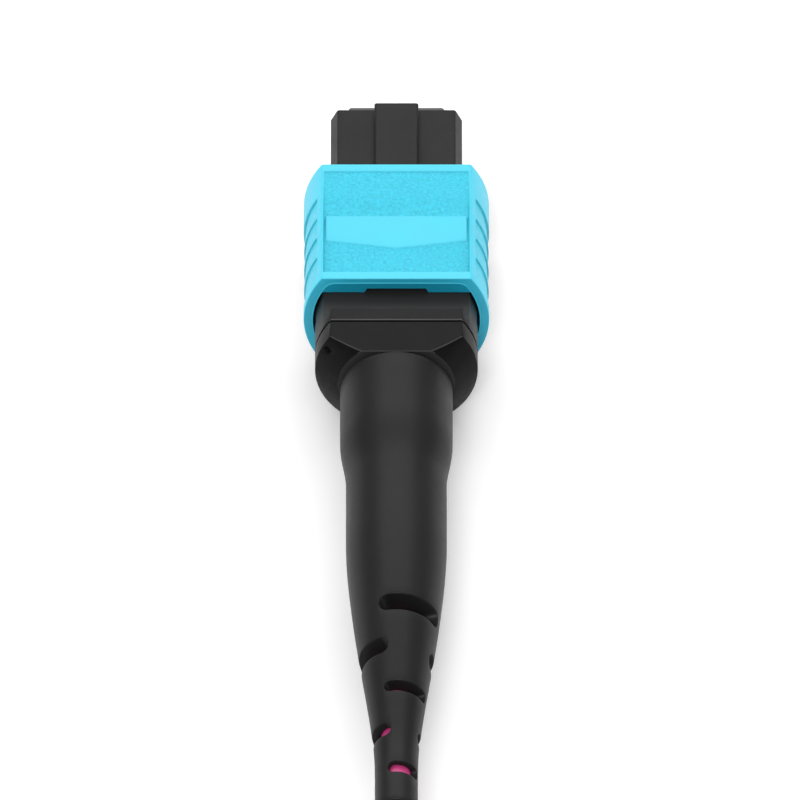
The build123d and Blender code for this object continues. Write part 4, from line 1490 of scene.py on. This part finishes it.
    def build(self) -> None:
        """Builds the boot and files it in place of its CAD node."""
        boot = Bench.piece("strain_boot", self.build_mesh(), BOOT_RUBBER, Body.HOUSING, Slot.BOOT.value)
        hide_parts("boot")


@dataclass
class Mouldings:
    """Black front housing, rear body and the parts that the springs work on."""

    seam: float = 22.15
    seam_gap: float = 0.18
    seam_core: Point2 = (4.0, 2.0)
    # Painted highlights on the seam's bevel and on rounded edges behind a depth, painted shade on the seam's
    # face and the collar, and painted light on the rear face round the boot.
    seam_bevel: Point2 = (0.09, 0.01)
    seam_reach: float = 0.06
    bevel_slopes: Point2 = (0.2, 0.95)
    end_slope: float = 0.9
    close: float = 0.01
    top: float = 3.05
    highlight_from: float = 23.0
    rear_face: float = 25.14
    rear_painted_light: float = 0.8
    collar_start: float = 21.1
    collar_painted_shade: float = -0.35

    def open_seam(self, mesh: bpy.types.Mesh) -> None:
        """Draws the rear body's joint face back round its core, which leaves a fine dark gap.

        Args:
            mesh: The rear body's mesh, in metres.
        """
        wide, high = self.seam_core
        for vertex in mesh.vertices:
            x, y, z = (c / MM for c in vertex.co)
            if abs(y + self.seam) < self.seam_reach and (abs(z) > high or abs(x) > wide):
                vertex.co.y -= self.seam_gap * MM

    def painted_light_level(self, face: bpy.types.MeshPolygon, rounded: bool) -> float:
        """How much light or shade is painted on a face: above 0 it is paler, as a painted highlight or
        painted light, and below 0 it is duller, as painted shade.

        Args:
            face: The face, in metres.
            rounded: Whether it is part of an edge's rounding.

        Returns:
            The level, from -1 to 1.
        """
        depth, height = -face.center.y / MM, abs(face.center.z) / MM
        slope = abs(face.normal.y)
        before, behind = self.seam_bevel
        flat, steep = self.bevel_slopes
        at_seam = self.seam - before < depth < self.seam + behind
        painted_highlit = (at_seam and flat < slope < steep) or (rounded and depth > self.highlight_from)
        # Painted highlight on rounded edges and on the seam's bevel.
        if painted_highlit and height > self.top:
            return 1.0
        # Painted shade: the housing's face in the seam loses its specular.
        if abs(depth - self.seam) < self.close and slope > self.end_slope:
            return -1.0
        # Painted shade: the collar, which lies behind the coupler, is duller.
        if self.collar_start < depth < self.seam:
            return self.collar_painted_shade
        # Painted light: the rear body's shaded face round the boot is paler.
        if abs(depth - self.rear_face) < 2 * self.close and slope > self.end_slope:
            return self.rear_painted_light
        return 0.0

    def wear(self, mesh: bpy.types.Mesh) -> None:
        """Marks the faces of a black moulding that are paler or duller than the rest, where light or shade is
        painted.

        Args:
            mesh: The mesh with its rounded edges marked, in metres.
        """
        rounded = [item.value > 0 for item in mesh.attributes["edge"].data]
        levels = [self.painted_light_level(face, rounded[face.index]) for face in mesh.polygons]
        mesh.attributes.new("wear", "FLOAT", "FACE").data.foreach_set("value", levels)

    def build(self) -> None:
        """Dresses the moulded and stamped pieces, with eased edges where a mould has them."""
        jobs = [
            ("inner_housing", 0.03, HOUSING_BLACK, Body.HOUSING, Slot.HOUSING),
            ("spring_push", 0.05, REAR_BLACK, Body.HOUSING, Slot.REAR_BODY),
            ("ferrule", 0.02, FERRULE_POLYMER, Body.FERRULE, Slot.FERRULE),
            ("pin_clamp", 0.04, CLAMP_STEEL, Body.FERRULE, Slot.CLAMP),
            ("ferrule_boot", 0.05, FERRULE_RUBBER, Body.FERRULE, Slot.FERRULE_BOOT),
            ("crimp_ring", 0.04, CRIMP_METAL, Body.HOUSING, Slot.CRIMP),
        ]
        for node, edge, finish, body, slot in jobs:
            mesh = Bench.eased_copy(node, edge)
            # Paints highlights, light and shade on the black mouldings.
            if finish in (HOUSING_BLACK, REAR_BLACK):
                self.wear(mesh)
            if node == "spring_push":
                self.open_seam(mesh)
            piece = Bench.piece(node + "_dressed", mesh, finish, body, slot.value)
            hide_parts(node)
        Bench.dress_node("cable_jacket", JACKET)


@dataclass
class Coil:
    """Compression spring with closed ends, round or oval."""

    name: str
    node: str
    joint: str
    travel: float
    size: Point2
    wire: float
    front: float
    length: float
    turns: float
    centre_x: float = 0.0
    points: int = 1100
    sides: int = 12
    flat_gain: float = 2.2
    dead_pitch: float = 2.06

    @classmethod
    @cache
    def tree(cls) -> GeometryTree:
        """Geometry nodes that wind the spring's wire.

        Returns:
            The tree, with its sizes as named inputs.
        """
        floats = ("Radius", "Straight", "Turns", "Rise", "Wire Radius", "Closed Share")
        sockets = {**dict.fromkeys(floats, Sort.FLOAT), "Centre": Sort.VECTOR}
        tree = GeometryTree.named("wound_spring", sockets)
        source = tree.add("NodeGroupInput").outputs
        radius, closed = source["Radius"], source["Closed Share"]
        line = tree.add("GeometryNodeMeshLine", {"Count": cls.points}, mode="OFFSET")
        index = tree.add("GeometryNodeInputIndex").outputs[0]
        share = tree.share(index, cls.points - 1.0)
        angle = tree.product(share, tree.product(source["Turns"], math.tau))
        cosine, sine = tree.math("COSINE", angle), tree.math("SINE", angle)
        flat = tree.held(tree.product(cosine, cls.flat_gain), -1.0, 1.0)
        x = tree.total(tree.product(cosine, radius), tree.product(flat, source["Straight"]))
        z = tree.product(sine, radius)
        sprung = tree.less(1.0, tree.product(closed, 2.0))
        inner = tree.held(tree.share(tree.less(share, closed), sprung), 0.0, 1.0)
        dead = tree.product(source["Wire Radius"], cls.dead_pitch)
        low = tree.product(tree.share(tree.math("MINIMUM", share, closed), closed), dead)
        tail = tree.math("MAXIMUM", tree.less(share, tree.less(1.0, closed)), 0.0)
        high = tree.product(tree.share(tail, closed), dead)
        span = tree.less(source["Rise"], tree.product(dead, 2.0))
        rise = tree.total(low, high, tree.product(inner, span))
        place = tree.vector("ADD", tree.join(x, tree.product(rise, -1.0), z), source["Centre"])
        wound = tree.add("GeometryNodeSetPosition", {"Geometry": line.outputs[0], "Position": place})
        curve = tree.add("GeometryNodeMeshToCurve", {0: wound.outputs[0]})
        tree.close(tree.tube(curve.outputs[0], source["Wire Radius"], cls.sides), source["Finish"])
        return tree

    def build(self) -> None:
        """Winds the spring and files it in place of its CAD node."""
        width, height = self.size
        sizes = {
            "Radius": (height - self.wire) / 2 * MM,
            "Straight": (width - height) / 2 * MM,
            "Turns": self.turns,
            "Rise": (self.length - self.wire) * MM,
            "Wire Radius": self.wire / 2 * MM,
            "Closed Share": 1.0 / self.turns,
            "Centre": (self.centre_x * MM, -(self.front + self.wire / 2) * MM, 0.0),
            "Finish": SPRING_STEEL.build(),
        }
        mesh = self.tree().run(self.name, sizes)
        spring = Bench.piece(self.name, mesh, SPRING_STEEL, Body.HOUSING, Slot.SPRING.value)
        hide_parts(self.node)
        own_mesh(spring)


@dataclass
class Springs:
    """Oval main spring and the two round coupler springs."""

    coupler_x: float = 4.92

    def build(self) -> None:
        """Winds the three springs."""
        Coil(
            "main_spring_wire", "main_spring", "ferrule_float", travel=0.7, size=(6.0, 2.8), wire=0.40,
            front=11.0, length=8.8, turns=7.5,
        ).build()
        for side, tag in ((-1, "left"), (1, "right")):
            Coil(
                f"coupler_spring_wire_{tag}", f"coupler_spring_{tag}", "coupler_slide", travel=1.8,
                size=(0.94, 0.94), wire=0.18, front=11.2, length=5.4, turns=9.5,
                centre_x=side * self.coupler_x,
            ).build()


@dataclass
class Fibres:
    """Twelve colour-coded fibres, bare glass in the ferrule's row."""

    pitch: float = 0.25

    def build(self) -> None:
        """Dresses each fibre's node in its own colour."""
        count = len(FIBRE_COLOURS)
        for number, (colour, value) in enumerate(FIBRE_COLOURS.items(), start=1):
            x = (number - (count + 1) / 2) * self.pitch
            Bench.dress_node(f"fibre_{number:02d}", FibreFinish(f"fibre_{colour}", value, x))
        LOG.info("fibres: %d", count)


@dataclass
class Yarn:
    """Aramid strands laid forward over the barrel from the jacket's end."""

    barrel_front: float = 25.98
    barrel_rear: float = 32.44
    jacket_front: float = 34.26
    inner: float = 2.12
    outer: float = 2.36
    foot: float = 0.80
    strands: int = 64
    strand_points: int = 24
    strand_sides: int = 5
    cone_share: float = 0.3125
    wander: float = 0.03
    seed: int = 4

    def tree(self) -> GeometryTree:
        """Geometry nodes that stand bent strands round the barrel.

        Returns:
            The tree, with its sizes as named inputs.
        """
        floats = ("Front", "Rear", "Jacket", "Radius", "Foot", "Strand Radius")
        sockets = {"Count": Sort.WHOLE, **dict.fromkeys(floats, Sort.FLOAT), "Seed": Sort.WHOLE}
        tree = GeometryTree.named("yarn_strands", sockets)
        source = tree.add("NodeGroupInput").outputs
        line = tree.add("GeometryNodeCurvePrimitiveLine")
        fine = tree.add("GeometryNodeResampleCurve", {"Curve": line.outputs[0], "Count": self.strand_points})
        share = tree.add("GeometryNodeSplineParameter").outputs["Factor"]
        bent = tree.math("MINIMUM", tree.product(share, 1 / self.cone_share), 1.0)
        swell = tree.less(source["Radius"], source["Foot"])
        radius = tree.total(source["Foot"], tree.product(tree.math("SMOOTH_MAX", bent, 0.0), swell))
        cone = tree.product(bent, tree.less(source["Jacket"], source["Rear"]))
        rest = tree.share(tree.less(share, self.cone_share), 1 - self.cone_share)
        laid = tree.product(tree.math("MAXIMUM", rest, 0.0), tree.less(source["Rear"], source["Front"]))
        depth = tree.less(tree.total(cone, laid), source["Jacket"])
        spots = {"Geometry": fine.outputs[0], "Position": tree.join(radius, depth, 0.0)}
        path = tree.add("GeometryNodeSetPosition", spots)
        strand = tree.tube(path.outputs[0], source["Strand Radius"], self.strand_sides)
        stack = {"Count": source["Count"], "Offset": (0, 0, 0)}
        base = tree.add("GeometryNodeMeshLine", stack, mode="OFFSET")
        index = tree.add("GeometryNodeInputIndex").outputs[0]
        turn = tree.share(tree.product(index, math.tau), source["Count"])
        limits = {2: -self.wander, 3: self.wander, "Seed": source["Seed"]}
        stray = tree.add("FunctionNodeRandomValue", limits, data_type="FLOAT").outputs[1]
        spin = tree.join(0.0, tree.total(turn, stray), 0.0)
        stand = {"Points": base.outputs[0], "Instance": strand, "Rotation": spin}
        tree.close(tree.add("GeometryNodeInstanceOnPoints", stand).outputs[0], source["Finish"])
        return tree

    def build(self) -> None:
        """Lays the strands and files them in place of the yarn's sleeve."""
        sizes = {
            "Count": self.strands,
            "Front": self.barrel_front * MM,
            "Rear": self.barrel_rear * MM,
            "Jacket": self.jacket_front * MM,
            "Radius": (self.inner + self.outer) / 2 * MM,
            "Foot": self.foot * MM,
            "Strand Radius": (self.outer - self.inner) / 2 * MM,
            "Seed": self.seed,
            "Finish": ARAMID.build(),
        }
        mesh = self.tree().run("yarn_strands", sizes)
        yarn = Bench.piece("yarn_strands", mesh, ARAMID, Body.HOUSING, Slot.ARAMID.value)
        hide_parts("aramid_yarn")


@dataclass
class CutEnd:
    """Twelve coloured fibres that show at the cable's cut end."""

    radius: float = 0.1
    sides: int = 8
    steps: int = 10
    hidden: float = 0.6
    ring: float = 0.34
    splay: Point2 = (0.30, 0.42)
    reach: Point2 = (3.2, 4.2)
    seed: int = 7
    smooth: float = 35.0

    def fibre(self, name: str, path: list[Vector], side: Vector, up: Vector) -> bpy.types.Mesh:
        """Closed tube of one fibre.

        Args:
            name: Name of the mesh.
            path: Its middle line, in millimetres.
            side: Unit vector across the cable.
            up: Unit vector across both.

        Returns:
            The fibre's mesh.
        """
        n = self.sides
        turns = [math.tau * k / n for k in range(n)]
        around = [(side * math.cos(a) + up * math.sin(a)) * self.radius for a in turns]
        points = [spot + out for spot in path for out in around]
        faces = [list(range(n)), list(range(self.steps * n, self.steps * n + n))]
        for start in range(0, self.steps * n, n):
            for k in range(n):
                m = (k + 1) % n
                faces.append([start + k, start + m, start + n + m, start + n + k])
        return Bench.softened(Bench.mesh(name, points, faces), self.smooth)

    def build(self, place: np.ndarray, direction: np.ndarray) -> list[bpy.types.Object]:
        """Builds the fibres, which splay out of the jacket.

        Args:
            place: End of the cable's centreline.
            direction: Direction in which it ends.

        Returns:
            The pieces at the end.
        """
        start = Vector(place) / MM
        along = Vector(direction).normalized()
        side = along.cross(Vector((0, 0, 1))).normalized()
        up = side.cross(along)
        made = []
        rng = np.random.default_rng(self.seed)
        for number, (colour, value) in enumerate(FIBRE_COLOURS.items()):
            angle = math.tau * number / len(FIBRE_COLOURS)
            out = side * math.cos(angle) + up * math.sin(angle)
            splay = float(rng.uniform(*self.splay))
            reach = float(rng.uniform(*self.reach))
            path = []
            for t in np.linspace(0, 1, self.steps + 1).tolist():
                path.append(start + along * (reach * t - self.hidden) + out * (self.ring + splay * t * t))
            name = f"cut_fibre_{colour}"
            finish = MouldedFinish(name, value, roughness=0.3, grain_depth=0.0005, marks=0.25)
            mesh = self.fibre(name, path, side, up)
            made.append(Bench.piece(name, mesh, finish, Body.HOUSING, f"fibre_{colour}"))
        return made


@dataclass
class Cable:
    """Free cable from the boot down to the table and into a tied hank."""

    diameter: float = 2.0
    route_points: tuple[Point3, ...] = (
        (0.0, -64.99, 0.0),
        (0.0, -69.99, 0.0),
        (-1.3, -75.4, -1.9),
        (-3.6, -80.4, -2.85),
        (-5.0, -85.4, -2.85),
    )
    hank_centre: Point2 = (2.8, -102.0)
    hank_run: float = 28.0
    fold_radius: float = 6.0
    pitch: float = 2.05
    rows: int = 5
    run_stops: Point2 = (12.0, 6.0)
    run_shifts: Point2 = (1.4, 0.7)
    slant_share: float = 0.25
    fold_points: int = 5
    run_points: int = 5
    stage_points: int = 17
    step_points: int = 2
    tie_thickness: float = 0.5
    tie_edge: float = 0.12
    end_lift: Point3 = (0.5, 1.2, 2.0)

    def loop_point(self, number: int, column: float) -> Point3:
        """Control point of one turn of the hank.

        Args:
            number: Place of the point in the turn, from 0.
            column: 0 in the inner turns and 1 in the outer ones, or between them.

        Returns:
            X and Y from the hank's middle and the lift over the strap.
        """
        radius = self.fold_radius + column * self.pitch
        half = (column + 0.5) * self.pitch
        slanted = half + self.slant_share * (radius - half)
        # The spline takes an eighth of each neighbour and six eighths of the middle point.
        waist = (8 * half - 2 * slanted) / 6
        far, near = (stop - shift * column for stop, shift in zip(self.run_stops, self.run_shifts))
        side, place = divmod(number, self.fold_points + self.run_points)
        sign = 1 if side else -1
        if place < self.run_points:
            x = (radius, slanted, waist, slanted, radius)[place]
            y = (-far, -near, 0.0, near, far)[place]
            lift = (0.0, 0.5, 1.0, 0.5, 0.0)[place] * self.tie_thickness
            return (sign * x, sign * y, lift)
        step = math.pi / self.fold_points
        angle = (place - self.run_points + 0.5) * step
        swell = radius / math.cos(step / 2)
        return (sign * swell * math.cos(angle), sign * (self.hank_run / 2 + swell * math.sin(angle)), 0.0)

    def stage_place(self, stage: int) -> tuple[int, int]:
        """Column and row of a stage of the winding, which goes in and out by turns."""
        row = stage // 2
        outer = (stage % 2 == 0) == (row % 2 == 0)
        return (1 if outer else 0), row

    def route(self) -> list[Point3]:
        """Control points of the cable's spline, in metres."""
        points = list(self.route_points)
        lying = points[-1][2]
        stages = 2 * self.rows
        count = stages * self.stage_points
        turn = 2 * (self.fold_points + self.run_points)
        for j in range(count):
            stage, inside = divmod(j, self.stage_points)
            column, row = self.stage_place(stage)
            next_column, next_row = self.stage_place(min(stage + 1, stages - 1))
            blend = max(0, inside - self.stage_points + self.step_points + 1) / (self.step_points + 1)
            x, y, lift = self.loop_point(j % turn, column + (next_column - column) * blend)
            height = lying + (row + (next_row - row) * blend) * self.pitch + lift
            height += self.end_lift[j - count] if j >= count - len(self.end_lift) else 0.0
            points.append((self.hank_centre[0] + x, self.hank_centre[1] + y, height))
        return [(x * MM, y * MM, z * MM) for x, y, z in points]

    def spline(self, points: list[Point3]) -> bpy.types.Curve:
        """Smooth open curve.

        Args:
            points: Its control points, in metres.

        Returns:
            The curve, without thickness.
        """
        curve = bpy.data.curves.new("free_cable", "CURVE")
        curve.dimensions = "3D"
        spline = curve.splines.new("NURBS")
        spline.points.add(len(points) - 1)
        for spot, place in zip(spline.points, points):
            spot.co = (*place, 1)
        spline.order_u = 3
        spline.use_endpoint_u = True
        spline.resolution_u = 5
        return curve

    def build(self) -> None:
        """Builds the cord, its cut end and its strap."""
        points = self.route()
        curve = self.spline(points)
        plain = Bench.linked("free_cable_line", curve)
        centre = np.array([v.co for v in Bench.evaluated(plain).vertices])
        bpy.data.objects.remove(plain)
        curve.bevel_depth = self.diameter / 2 * MM
        curve.bevel_resolution = 5
        curve.use_fill_caps = True
        curve.materials.append(JACKET.build())
        cable = Bench.linked("free_cable", curve)
        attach(cable, Body.HOUSING.value)
        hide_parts("cable_free", "cable_hank")
        end = CutEnd().build(centre[-1], centre[-1] - centre[-2])
        self.strap()

    def strap(self) -> bpy.types.Object:
        """Woven strap round the hank's waist."""
        mesh = Bench.eased_copy("cable_tie", self.tie_edge)
        strap = Bench.piece("cable_tie_strap", mesh, TIE_WEAVE, Body.HOUSING, Slot.TIE.value)
        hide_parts("cable_tie")
        return strap


@dataclass(frozen=True)
class Lamp:
    """A rectangular lamp, with its place and size in metres, that faces the connector."""

    name: str
    place: Point3
    size: Point2
    watts: float
    on_matt: bool = True

    def build(self, aim: Point3) -> None:
        """Hangs the lamp, which may leave matt surfaces unlit and only shine on glossy ones.

        Args:
            aim: Point that it faces, in metres.
        """
        light = bpy.data.lights.new(self.name, "AREA")
        light.shape = "RECTANGLE"
        light.size, light.size_y = self.size
        light.energy = self.watts
        lamp = Bench.linked(self.name, light)
        lamp.visible_diffuse = self.on_matt
        lamp.location = self.place
        lamp.rotation_euler = (Vector(aim) - Vector(self.place)).to_track_quat("-Z", "Y").to_euler()


@dataclass
class Studio:
    """White table, soft lamps and the camera at the photograph's angle."""

    view_width: float = 53.26
    look_at: Point3 = (0.24, -26.53, 0.0)
    elevation: float = 45.0
    lens: float = 1500.0
    sensor: float = 36.0
    clip_start: float = 0.01
    table: float = -3.86
    table_half: float = 2.0
    table_tone: Point2 = (0.97, 0.98)
    lift: float = 0.18
    tent: float = 0.80
    rear_share: float = 0.40
    rear_fade: Point2 = (0.05, -0.5)
    card_share: float = 0.22
    card_foot: Point2 = (-0.05, 0.10)
    card_top: Point2 = (0.62, 0.45)
    card_start: Point2 = (20.0, 42.0)
    card_end: Point2 = (125.0, 100.0)
    side_gain: float = 0.75
    side_fade: Point2 = (0.45, 0.95)
    aim: Point3 = (0, -0.03, 0)
    lamps: tuple[Lamp, ...] = (
        Lamp("lamp_above", (0.0, 0.30, 0.38), (0.52, 0.28), 1.05),
        Lamp("lamp_behind", (-0.08, -0.42, 0.42), (0.16, 0.16), 0.75),
        Lamp("lamp_edges", (0.04, -0.43, 0.40), (0.30, 0.10), 2.60, on_matt=False),
    )

    def build(self) -> None:
        """Sets up floor, world, lamps and camera."""
        self.floor()
        self.world()
        for lamp in self.lamps:
            lamp.build(self.aim)
        self.camera()

    def floor(self) -> None:
        """Large pale table top that keeps the soft shadow."""
        far = self.table_half
        mesh = bpy.data.meshes.new("table_top")
        mesh.from_pydata([(-far, -far, 0), (far, -far, 0), (far, far, 0), (-far, far, 0)], [], [(0, 1, 2, 3)])
        mesh.transform(Matrix.Translation((0, 0, self.table * MM)))
        material = bpy.data.materials.new("table_white")
        material.use_nodes = True
        tree = NodeTree(material.node_tree)
        tone = tree.spread(tree.noise(tree.place(), scale=40.0), *self.table_tone)
        shade = tree.add("ShaderNodeCombineColor", {0: tone, 1: tone, 2: tone})
        look = {
            "Base Color": shade.outputs[0],
            "Roughness": 0.9,
            "Specular IOR Level": 0.1,
            "Emission Color": WHITE,
            "Emission Strength": tree.product(tree.ray("Is Camera Ray"), self.lift),
        }
        tree.fill(material.node_tree.nodes["Principled BSDF"], look)
        mesh.materials.append(material)
        Bench.linked("table_top", mesh)

    def world(self) -> None:
        """White for the camera; for the rest a pale tent, darker behind it and with two dark cards."""
        world = bpy.data.worlds.new("studio")
        bpy.context.scene.world = world
        world.use_nodes = True
        tree = NodeTree(world.node_tree)
        path = tree.add("ShaderNodeLightPath").outputs
        seen = tree.math("MAXIMUM", path["Is Camera Ray"], path["Is Transmission Ray"])
        axes = tree.axes(tree.add("ShaderNodeTexCoord").outputs["Generated"])
        across = tree.math("ABSOLUTE", axes["X"])
        turn = tree.math("ARCTAN2", across, axes["Y"])
        card = tree.product(
            tree.step(axes["Z"], *self.card_foot),
            tree.step(axes["Z"], *self.card_top),
            tree.step(turn, *map(math.radians, self.card_start)),
            tree.step(turn, *map(math.radians, self.card_end)),
            path["Is Glossy Ray"],
        )
        aside = tree.product(tree.step(across, *self.side_fade), path["Is Diffuse Ray"])
        behind = tree.step(axes["Y"], *self.rear_fade)
        level = tree.product(
            tree.less(1.0, tree.product(behind, 1.0 - self.rear_share)),
            tree.less(1.0, tree.product(card, 1.0 - self.card_share)),
            tree.total(1.0, tree.product(aside, self.side_gain)),
            self.tent,
        )
        strength = tree.total(seen, tree.product(tree.less(1.0, seen), level))
        tree.fill(world.node_tree.nodes["Background"], {"Color": WHITE, "Strength": strength})

    def camera(self) -> None:
        """Long lens from behind and above, as in the photograph."""
        data = bpy.data.cameras.new("camera")
        data.lens = self.lens
        data.sensor_width = self.sensor
        distance = self.view_width * MM / self.sensor * self.lens
        data.clip_start, data.clip_end = self.clip_start, distance * 3
        rise = math.radians(self.elevation)
        back = Vector((0, -math.cos(rise), math.sin(rise)))
        camera = Bench.linked("camera", data)
        camera.location = Vector(self.look_at) * MM + back * distance
        camera.rotation_euler = (-back).to_track_quat("-Z", "Y").to_euler()
        bpy.context.scene.camera = camera
        bpy.context.scene.view_settings.view_transform = "Standard"


def main() -> None:
    """Builds every assembly in order and the studio round it."""
    logging.basicConfig(level=logging.INFO, format="%(name)s %(message)s")
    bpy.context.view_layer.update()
    assemblies = (Studio(), Cable(), Coupler(), StrainBoot(), Mouldings(), Springs(), Fibres(), Yarn())
    for assembly in assemblies:
        assembly.build()
        LOG.info("%s: done", type(assembly).__name__)


if __name__ == "__main__":
    main()
